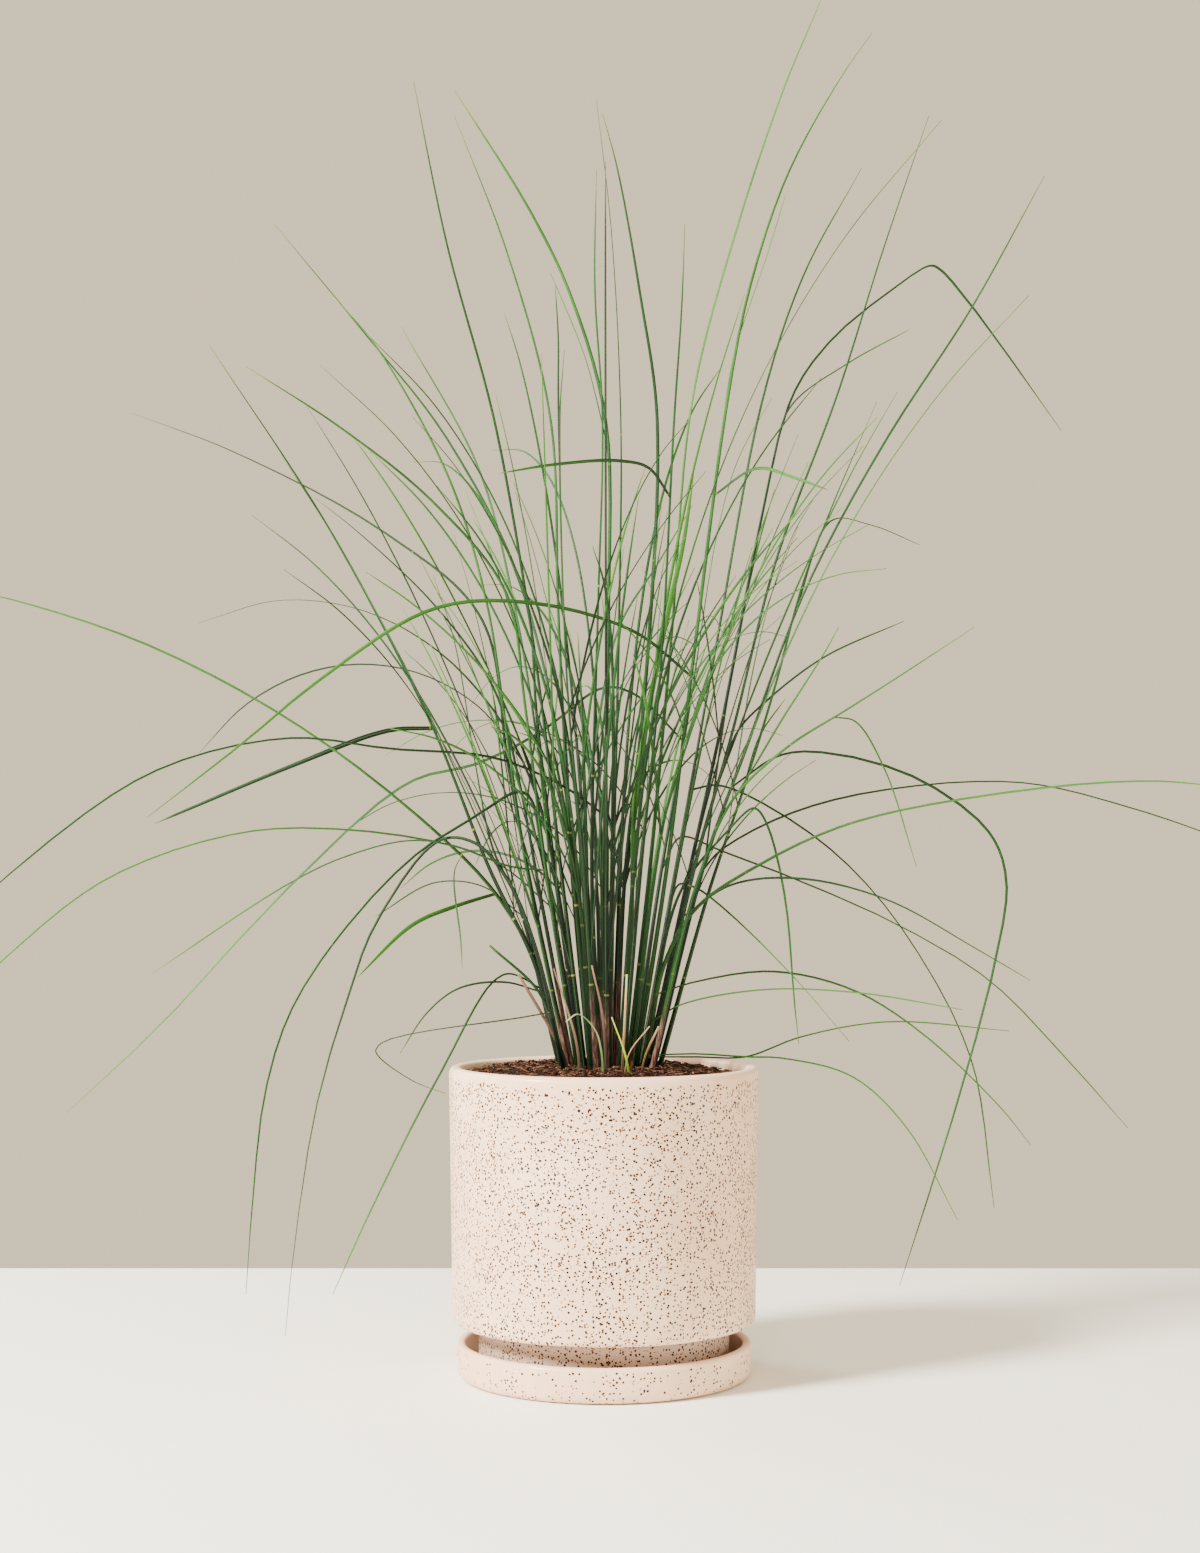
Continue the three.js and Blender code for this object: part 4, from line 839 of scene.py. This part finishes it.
def draw(row="stems"):
    """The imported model's own repeatable draws, in a row for stems and one for inner leaves."""
    states[row] = states[row] * 16807 % 2147483647
    return states[row] / 2147483647


def between(low, high, row="stems"):
    return low + (high - low) * draw(row)


def solid_of(node):
    """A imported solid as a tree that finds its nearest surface."""
    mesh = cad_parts[node].data
    corners = [v.co / MM for v in mesh.vertices]
    return BVHTree.FromPolygons(corners, [tuple(p.vertices) for p in mesh.polygons])


def taken(solid, lay):
    """The first laid-out line that lies on the solid, or else the nearest."""
    best, least = None, math.inf
    for shift in SHIFTS:
        line = lay(shift)
        checks = [*line[:: max(1, len(line) // CHECKED_PLACES)][1:], line[-1]]
        miss = max(solid.find_nearest(Vector(place))[3] for place in checks)
        if miss < least:
            best, least = line, miss
        if least < ON_SOLID:
            break
    misses.append(least)
    return best


print("steps that are tried:", len(SHIFTS))

# %% A drawn stem and a drawn leaf
ROOT_SHIFT, TIP_SHIFT = 4, 6
STEM_ROLL, LEAF_ROLL = 35, 40


def laid_stem(back, seen, shift):
    """A drawn stem's line. Its first drawn point gets a depth that keeps it inside the clump."""
    across, up = seen[0]
    disc = CLUMP_SLOPE * (up - CLUMP_APEX)
    aside = min(disc, abs(across - CLUMP_X))
    room = CLUMP_DEPTH * math.sqrt(disc * disc - aside * aside)
    depth = min(room, max(-room, CROWN_SHARE * back)) + ROOT_SHIFT * shift
    points = seen_to_places(seen, depth, back + TIP_SHIFT * shift)
    return out_of_soil(points[0], points)


def laid_leaf(start, back, seen, shift):
    seen = [seen_from_eye(start)] + seen
    return smooth_way(seen_to_places(seen, start[1], back + TIP_SHIFT * shift))


print("a step moves a root", ROOT_SHIFT, "mm and a tip", TIP_SHIFT, "mm")

# %% Leaves by rule
LEAF_TURN, LEAF_POWER = 0.07, 0.9


def ruled_leaf(azimuth, root, length, lean, droop, wide):
    """A leaf by rule, as a function of its stem's line and the shift."""
    roll = between(-45, 45)

    def lay(stem_line, shift):
        start = at_height(stem_line, root)
        turn = azimuth + LEAF_TURN * shift
        return smooth_way(arch_points(start, turn, lean, droop, length, LEAF_POWER, 0))

    return lay, wide, roll


def small_leaf(seen):
    """The one small leaf by rule on a drawn stem."""
    azimuth = between(0, 360) * DEGREE
    lean, droop = between(8, 22) * DEGREE, between(24, 66) * DEGREE
    root = between(min(seen[0][1], 280), min(seen[1][1], 440))
    length = between(90, 210)
    return ruled_leaf(azimuth, root, length, lean, droop, between(1.2, 1.7))


def inner_leaf(bend):
    """The leaf that stands close along each culm; its lean adds to the culm's own."""

    def pick(low, high):
        return between(low, high, "inner_leaves")

    aside, lean, droop = pick(-1.3, 1.3), pick(3, 9) * DEGREE, pick(14, 46) * DEGREE
    root = pick(238, min(bend, 400))
    length, wide, roll = pick(180, 400), pick(1.5, 2.4), pick(-60, 60)

    def lay(stem_line, shift):
        start = at_height(stem_line, root)
        x, y = start[0] - CLUMP_X, start[1]
        away = math.atan2(math.hypot(x, y), start[2] - CLUMP_APEX)
        turn = math.atan2(y, x) + aside + LEAF_TURN * shift
        return smooth_way(arch_points(start, turn, away + lean, away + droop, length, LATE_BEND, 0))

    return lay, wide, roll


def ruled_leaves(solid, line, rules):
    """The line, width and roll of each leaf by rule."""
    return [(taken(solid, lambda shift: lay(line, shift)), wide, roll) for lay, wide, roll in rules]


print("a step turns a leaf by", round(LEAF_TURN / DEGREE, 1), "degrees")

# %% Laying out every drawn stem
STEM_NODE = "leafy_stem_%02d"
plants = []

# Blades that were given no roll turn to one side and to the other by turns
for back, seen, wide, roll, drawn_leaves in DRAWN_STEMS:
    solid = solid_of(STEM_NODE % (len(plants) + 1))
    line = taken(solid, lambda shift: laid_stem(back, seen, shift))
    leaves = []
    for root, leaf_back, leaf_wide, leaf_seen, leaf_roll in drawn_leaves:
        start = at_height(line, root)
        way = taken(solid, lambda shift: laid_leaf(start, leaf_back, leaf_seen, shift))
        if leaf_roll is None:
            leaf_roll = -LEAF_ROLL if len(leaves) % 2 else LEAF_ROLL
        leaves.append((way, leaf_wide, leaf_roll))
    leaves += ruled_leaves(solid, line, (small_leaf(seen), inner_leaf(seen[1][1])))
    if roll is None:
        roll = STEM_ROLL if len(plants) % 2 else -STEM_ROLL
    plants.append((line, wide, roll, leaves))
print("drawn plants:", len(plants), "worst miss in mm:", round(max(misses), 2))

# %% [markdown]
# The photograph shows only the front, so the stems that lean straight back and straight forward
# stand by a rule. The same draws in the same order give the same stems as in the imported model.

# %% Stems by rule
RULED_STEMS, RULED_CROWN, STEM_TURN = 15, 320, 0.09

# Lengths are in millimetres. The taller a stem is, the less it droops.
for index in range(RULED_STEMS):
    behind = index % 2 == 0
    azimuth = ((90 if behind else -90) + between(-45, 45)) * DEGREE
    outward = between(0.3, 1)
    tall = draw() ** 2
    length = 260 + 320 * tall
    droop = (between(90, 130) - 45 * tall if behind else between(64, 92) - 25 * tall) * DEGREE
    power, twist, wide = between(1.1, 1.7), between(-0.35, 0.35), between(1.6, 2.2)
    roll = between(-40, 40)
    rules = []
    for side in (-1, 1):
        root, aside = between(275, 420), side * between(0.2, 0.6)
        leaf_length, leaf_lean = between(170, 330), between(14, 30) * DEGREE
        leaf_droop = (between(95, 150) if behind else between(60, 95)) * DEGREE
        leaf_wide = between(1.4, 2.3)
        rules.append(ruled_leaf(azimuth + aside, root, leaf_length, leaf_lean, leaf_droop, leaf_wide))
    rules.append(inner_leaf(400))

    def laid_ruled(shift):
        angle = azimuth + STEM_TURN * shift
        disc = CLUMP_SLOPE * (RULED_CROWN - CLUMP_APEX) * outward
        x, y = disc * math.cos(angle), CLUMP_DEPTH * disc * math.sin(angle)
        lean = math.atan2(math.hypot(x, y), RULED_CROWN - CLUMP_APEX)
        crown = np.array([CLUMP_X + x, y, RULED_CROWN])
        return out_of_soil(crown, arch_points(crown, angle, lean, droop, length, power, twist))

    solid = solid_of(STEM_NODE % (len(plants) + 1))
    line = taken(solid, laid_ruled)
    plants.append((line, wide, roll, ruled_leaves(solid, line, rules)))
print("all plants:", len(plants), "worst miss in mm:", round(max(misses), 2))

# %% [markdown]
# ## One culm and one leaf
# A culm is round where it leaves the soil and flattens upwards into a blade. A leaf is flat all
# along, its edges raised like a gutter, which keeps so thin a thing stiff. A curve with a bevel
# would give each the same section all along, so both are meshes here. They begin as a cylinder
# cut into short lengths, modelled once each. Every plant below gets its own copies.

# %% Blade shapes
CULM_SIDES, CULM_RINGS = 8, 64
LEAF_SIDES, LEAF_RINGS = 6, 30


def blade_shape(name, sides, rings):
    deselect_all()
    bpy.ops.mesh.primitive_cylinder_add(vertices=sides, radius=1, depth=1, location=(0, 0, 0.5))
    piece = modelled_once(name)
    cut_lengthwise(piece, 2, rings - 2)
    return piece


culm_shape = blade_shape("culm_shape", CULM_SIDES, CULM_RINGS)
leaf_shape = blade_shape("leaf_shape", LEAF_SIDES, LEAF_RINGS)
print("points in a culm and a leaf:", len(culm_shape.data.vertices), len(leaf_shape.data.vertices))

# %% [markdown]
# ## Laying a copy along its line
# Each ring of the copy goes to a place on the line, turned to face along it. A curve modifier
# would twist the blade at will, while here the turn is chosen. Rings stand closer together where
# the line bends. Each point also keeps notes for the finish: how far along and across the blade
# it lies, its tone, and how much of a joint, a dry end or a sheath it is.

# %% Where the rings stand and which way they face
BEND_CROWDING = 0.8
JOINT_RINGS = (-0.9, -0.25, 0.25, 0.9)
FACING, WANDER, WANDER_TURNS = 0.4, 0.35, 5


def lengths_along(line):
    """How far along the line each of its places lies."""
    return np.append(0, np.cumsum(np.linalg.norm(np.diff(line, axis=0), axis=1)))


def ring_places(line, along, rings, joints):
    """How far along each ring stands, crowding at bends, with four rings at every joint."""
    steps = np.diff(line, axis=0)
    ways = steps / np.diff(along)[:, None]
    turning = np.append(0, np.arccos(np.clip((ways[1:] * ways[:-1]).sum(axis=1), -1, 1)))
    effort = np.append(0, np.cumsum(np.diff(along) / along[-1] + turning * BEND_CROWDING))
    free_rings = rings - len(JOINT_RINGS) * len(joints)
    even = np.interp(np.linspace(0, effort[-1], free_rings), effort, along)
    return np.sort(np.append(even, [joint + d for joint in joints for d in JOINT_RINGS]))


def sides_and_faces(whole_way, ways, share, roll):
    """Which way each ring's width and thickness point: level, then rolled about the line by an
    angle that wanders a little. A blade that leans across the view is rolled further."""
    level_way = math.hypot(*whole_way[:2])
    level = np.array([-whole_way[1], whole_way[0], 0]) / level_way
    level = level - ways * (ways @ level)[:, None]
    level /= np.linalg.norm(level, axis=1)[:, None]
    upright = np.cross(ways, level)
    faced = 1 + FACING * abs(whole_way[0]) / level_way
    turn = np.radians(roll) * faced + WANDER * np.sin(share * WANDER_TURNS + roll)
    side = level * np.cos(turn)[:, None] + upright * np.sin(turn)[:, None]
    return side, np.cross(ways, side)


print("rings at each joint:", len(JOINT_RINGS))

# %% Laying blades
NOTES = ("share", "across", "tone", "joint", "dry")
JOINT_HALF, JOINT_SWELL = 0.5, 1.08


def lay_blade(shape, rings, line, size_at, roll, gutter, tone, dry, joints):
    """A copy of the shape along the line. size_at gives half the width and half the thickness at
    a share of the length. dry is shares of the length and how dry each is, and joints has how
    far along each joint is and how pale."""
    along = lengths_along(line)
    stations = ring_places(line, along, rings, joints)
    places = np.stack([np.interp(stations, along, line[:, k]) for k in range(3)], axis=1)
    ways = np.gradient(places, axis=0)
    ways /= np.linalg.norm(ways, axis=1)[:, None]
    share = stations / along[-1]
    side, face = sides_and_faces(line[-1] - line[0], ways, share, roll)
    sizes = np.array([size_at(s) for s in share])
    near = [[pale for joint, pale in joints.items() if abs(joint - d) < JOINT_HALF] for d in stations]
    marks = np.array([max(pales, default=0) for pales in near])
    sizes[marks > 0] *= JOINT_SWELL

    piece = bpy.data.objects.new(shape.name, shape.data.copy())
    points = np.zeros(len(piece.data.vertices) * 3)
    piece.data.vertices.foreach_get("co", points)
    a, b, up = points.reshape(-1, 3).T
    ring = np.rint(up * (rings - 1)).astype(int)
    half, thick = sizes[ring].T
    flat = 1 - np.clip(thick / half, 0, 1)
    lift = thick * b + gutter * flat * half * (a * a - 0.5)
    laid = places[ring] + side[ring] * (a * half)[:, None] + face[ring] * lift[:, None]
    piece.data.vertices.foreach_set("co", (laid * MM).ravel())

    values = dict(share=share[ring], across=a, tone=np.full(len(a), tone), joint=marks[ring])
    values["dry"] = np.interp(share[ring], *dry)
    for name in NOTES:
        layer = piece.data.attributes.new(name, "FLOAT", "POINT")
        layer.data.foreach_set("value", values[name].astype(np.float32))
    bpy.context.scene.collection.objects.link(piece)
    return piece


print("notes kept at each point:", NOTES)

# %% [markdown]
# ## Living green
# Wiry muhly blades run from deep bluish green in the clump to fresher yellow green further out, partly
# their own colour and partly painted shade and painted light.
# Their tips bleach to straw. Fine veins run the whole length. A culm has a pale band at each
# joint, and some have a brown dead sheath round the foot. A material per blade would need
# hundreds, so one material reads each blade's notes.

# %% Green blade finish
SHADOWS = [(0.0, "#848c86"), (0.3, "#b6beb6"), (0.6, "#f4f8f4")]
SHEATH_BROWNS = [(0.36, "#2a1a17"), (0.5, "#4e3430"), (0.66, "#806050")]
FRESHER_AND_LIGHTER_OUTWARDS = 0.45
VEIN_WAVES = 24
JOINT_PALENESS = 0.6
PATCH_WIDTH, FRAY_WIDTH, FRAY_STRETCH = 45, 1.4, 0.12
VEIN_DEPTH = 0.06


def blade_finish(name, greens, tip, tip_from, roughness, bleaching=0.45):
    """greens runs from the darkest blade to the freshest, and tip is the colour of bleached ends.
    They start at tip_from, a share of the length, and bleaching is how far they go."""
    material, add, shader = new_material(name, Roughness=roughness, IOR=1.42, Specular_IOR_Level=0.22)
    place = add("TexCoord").outputs["Object"]
    share, across, tone, joint, dry = (
        add("Attribute attribute_name=" + note).outputs["Fac"] for note in NOTES
    )

    # The blade's green is uneven along its length. Towards the tips it turns lighter and fresher,
    # partly its own colour and partly painted light; towards the root it gets painted shade of the clump
    patches = add("TexNoise", place, Scale=1 / (PATCH_WIDTH * MM), Detail=3.0)
    uneven = add("MapRange", patches, To_Min=-0.38, To_Max=0.34)
    outer = add("Math MULTIPLY_ADD", share, FRESHER_AND_LIGHTER_OUTWARDS, uneven)
    green = add("Math ADD", tone, outer)
    colour = add("ValToRGB", green, stops=greens)
    # Painted shade: each blade is darkened towards its root, deep inside the clump
    shadow = add("ValToRGB", share, stops=SHADOWS)
    colour = add(SHADE_MIX, 1.0, colour, shadow)

    # Seven or eight veins and a paler midrib. Real veins stand a tenth or two of a millimetre
    # apart, which is too fine to show here, so fewer and broader ones are drawn.
    waves = add("Math MULTIPLY", across, VEIN_WAVES)
    veins = add("Math SINE", waves)
    groove = add("MapRange", veins, From_Min=-1.0, To_Min=0.4, To_Max=0.0)
    colour = add(SHADE_MIX, groove, colour, linear("#97a08f"))
    middle = add("Math ABSOLUTE", across)
    rib = add("MapRange", middle, From_Max=0.16, To_Min=0.3, To_Max=0.0)
    colour = add(COLOUR_MIX, rib, colour, linear("#4b8434"))

    # The tip bleaches, dead parts turn to brown fraying fibre, and joints are pale bands
    bleach = add("MapRange", share, From_Min=tip_from, From_Max=0.985, To_Max=bleaching)
    colour = add(COLOUR_MIX, bleach, colour, linear(tip))
    drawn_out = add("VectorMath MULTIPLY", place, (1, 1, FRAY_STRETCH))
    fineness = 1 / (FRAY_WIDTH * MM)
    fray = add("TexNoise", drawn_out, Scale=fineness, Detail=4.0, Roughness=0.6)
    brown = add("ValToRGB", fray, stops=SHEATH_BROWNS)
    colour = add(COLOUR_MIX, dry, colour, brown)
    band = add("Math MULTIPLY", joint, JOINT_PALENESS)
    colour = add(COLOUR_MIX, band, colour, linear("#8f9446"))
    bump = add("Bump", Strength=0.5, Distance=VEIN_DEPTH * MM, Height=veins)
    connect(shader, colour, bump)
    return material


GREENS = [(0.0, "#051b10"), (0.25, "#082712"), (0.5, "#0e3914"), (0.75, "#1b5017"), (1.0, "#397222")]
living_green = blade_finish(
    "living blade, deep green", GREENS, "#8fa055", tip_from=0.93, roughness=0.5, bleaching=0.2)
print("blade finish:", living_green.name)

# %% [markdown]
# ## The leafy stems
# A culm thins from nearly four millimetres at the soil to a hair at its tip. Joints come at
# uneven lengths, most of them under a hundred millimetres apart, and wherever a leaf leaves.
# The stem and its own leaves are joined into one piece, since that is how they grow.

# %% How wide and thick a blade is along its length
CULM_RADIUS, ROUND_UP_TO = 1.9, 0.8
TIP_HALF, THIN = 0.2, 0.22  # half the width of a tip and half the thickness of a blade


def culm_size(wide, s):
    """Half the width and half the thickness at s, a share of the culm's length."""
    round_half = CULM_RADIUS * max(0, 1 - s / ROUND_UP_TO)
    blade_half = 0.5 * wide * math.sqrt(max(0, 1 - s**4)) * min(1, 3 * s)
    thick = max(round_half, min(THIN, 0.8 * blade_half), TIP_HALF)
    return max(round_half, blade_half, TIP_HALF), thick


def leaf_size(wide, s):
    half = 0.5 * wide * min(1, 0.75 + 0.9 * s) * math.sqrt(max(0, 1 - s**3.5))
    return max(half, TIP_HALF), min(THIN, max(0.6 * half, TIP_HALF))


print("half the width and thickness of a culm's middle:", culm_size(STEM_WIDTH, 0.5))

# %% Leafy stems
TRIED_JOINTS, MOST_JOINTS, LAST_JOINT, JOINTS_APART = 5, 8, 0.72, 5
LEAF_JOINT = {2.0: 0.4}
CULM_GUTTER, LEAF_GUTTER = 0.35, 0.5
RIGHT_SIDE = 8
grass_luck = random.Random(5)


def find_joints(line, along, leaves):
    """How far along each joint is and how pale: where leaves leave, and at uneven lengths."""
    places = [along[np.argmin(np.linalg.norm(line - way[0], axis=1))] for way, _, _ in leaves]
    first = grass_luck.uniform(70, 110)
    places += [first + i * grass_luck.uniform(65, 100) for i in range(TRIED_JOINTS)]
    joints = {}
    for place in places:
        clear = all(abs(place - joint) > JOINTS_APART for joint in joints)
        if place < along[-1] * LAST_JOINT and len(joints) < MOST_JOINTS and clear:
            joints[place] = grass_luck.random() ** 4
    return joints


def grow_leaf(stem_tone, line, wide, roll):
    """One leaf's copy. It is mostly fresher than its stem, and half of the leaves have dry tips."""
    dry_from = grass_luck.uniform(0.9, 1.1)
    dry = ([0, min(dry_from, 1) - 0.01, 1], [0, 0, 0.7 if dry_from < 1 else 0])
    tone = min(1, max(0, stem_tone + grass_luck.uniform(-0.15, 0.35)))
    size = partial(leaf_size, wide)
    return lay_blade(leaf_shape, LEAF_RINGS, line, size, roll, LEAF_GUTTER, tone, dry, LEAF_JOINT)


for number, (line, wide, roll, leaves) in enumerate(plants, 1):
    along = lengths_along(line)
    joints = find_joints(line, along, leaves)

    # In the photograph the stems on the right are fresher, and fewer of them have a dead foot
    fresher, dead_chance = (0.12, 0.12) if line[0][0] > RIGHT_SIDE else (-0.05, 0.42)
    tone = grass_luck.triangular(0.0, 0.8, 0.3) + fresher
    dead_foot = grass_luck.random() < dead_chance
    sheath_top = grass_luck.uniform(35, 85) / along[-1] if dead_foot else 0.001
    dry = ([0, sheath_top * 0.8, sheath_top, 1], [0.95 * dead_foot, 0.8 * dead_foot, 0, 0])
    size = partial(culm_size, wide)
    culm = lay_blade(culm_shape, CULM_RINGS, line, size, roll, CULM_GUTTER, tone, dry, joints)
    work_on(culm, *[grow_leaf(tone, *each) for each in leaves])
    bpy.ops.object.join()
    culm.name = culm.data.name = "grass_stem_%02d" % number
    bpy.ops.object.shade_smooth()
    finish_piece(culm, [STEM_NODE % number], living_green)

# %% [markdown]
# ## Cut culms, dead sheaths and young blades
# Round the clump's foot stand what is left of older growth. Two culms have been cut off square,
# brown papery sheaths have come loose, straws lie broken, and two short blades are new. They are
# laid from the leaf's shape too, only thicker for their width, as so short a piece needs no other.

# %% Straw, sheath and young green finishes
STRAW = [(0.0, "#5a3a2a"), (0.5, "#94694a"), (1.0, "#c09a74")]
BROWN = [(0.0, "#2f201c"), (0.5, "#4d3630"), (1.0, "#7a5a4c")]
FRESH = [(0.0, "#4f7a14"), (0.5, "#7fa812"), (1.0, "#a3bd2a")]
DULL = [(0.0, "#2f4a2c"), (0.5, "#47683c"), (1.0, "#6c8a58")]
straw = blade_finish("straw, dead and pale", STRAW, "#cdb08c", tip_from=0.7, roughness=0.7)
brown_sheath = blade_finish("dead sheath, brown", BROWN, "#94705a", tip_from=0.85, roughness=0.75)
dull_green = blade_finish("curled blade, dull green", DULL, "#9aa67c", tip_from=0.6, roughness=0.6)
fresh_green = blade_finish("young blade, yellow green", FRESH, "#b9c46a", tip_from=0.85, roughness=0.4)
print("finishes at the foot:", [m.name for m in (straw, brown_sheath, dull_green, fresh_green)])

# %% Short pieces at the foot
# Each has its name, foot, depth, radius, points as seen, finish, tone and thickness for its width
SHORT_PIECES = [
    ("cut_culm_brown", (-20, -20), -44, 1.7, [(-29, 214), (-56, 262)], brown_sheath, 0.3, 0.95),
    ("cut_culm_dark", (-26, -8), -30, 1.5, [(-32, 222), (-43, 251), (-75, 281)], living_green, 0.05, 0.95),
    ("dry_sheath_left", (-15, -36), -54, 1.3, [(-18, 217), (-33, 266)], brown_sheath, 0.7, 0.5),
    ("dry_sheath_middle", (2, -40), -58, 1.3, [(-1, 235), (-8, 268)], brown_sheath, 0.4, 0.5),
    ("dry_sheath_right", (22, -33), -46, 1.2, [(27, 208), (36, 228)], straw, 0.35, 0.4),
    ("dry_straw", (11, -38), -60, 1.1, [(13, 219), (15, 262)], straw, 0.55, 0.5),
    ("forked_straw", (12, -46), -54, 0.9, [(16, 209), (30, 228)], straw, 0.8, 0.5),
    ("young_blade", (18, -47), -66, 1, [(14, 209), (5, 234)], fresh_green, 0.6, 0.35),
    ("curled_blade", (0, -46), -64, 1, [(-2, 213), (-6, 226), (-17, 236), (-25, 231)],
        dull_green, 0.85, 0.35),
]
SHORT_END, SHORT_TAPER, FOOT_SHIFT = 185, 0.45, 1.5
NOT_DRY = ([0, 1], [0, 0])


def short_size(radius, thin, s):
    half = radius * (1 - SHORT_TAPER * s)
    return half, max(THIN, half * thin)


def laid_short(foot, back, seen, shift):
    x, y = foot[0], foot[1] - FOOT_SHIFT * shift
    return smooth_way([(x, y, SHORT_END)] + seen_to_places([(0, 0)] + seen, y, back)[1:])


for name, foot, back, radius, seen, finish, tone, thin in SHORT_PIECES:
    line = taken(solid_of(name), lambda shift: laid_short(foot, back, seen, shift))
    size = partial(short_size, radius, thin)
    piece = lay_blade(leaf_shape, LEAF_RINGS, line, size, 0, LEAF_GUTTER, tone, NOT_DRY, {})
    piece.name = piece.data.name = "old_growth_" + name
    work_on(piece)
    bpy.ops.object.shade_smooth_by_angle(angle=math.radians(60))
    finish_piece(piece, [name], finish)
for shape in (culm_shape, leaf_shape):
    bpy.data.objects.remove(shape)
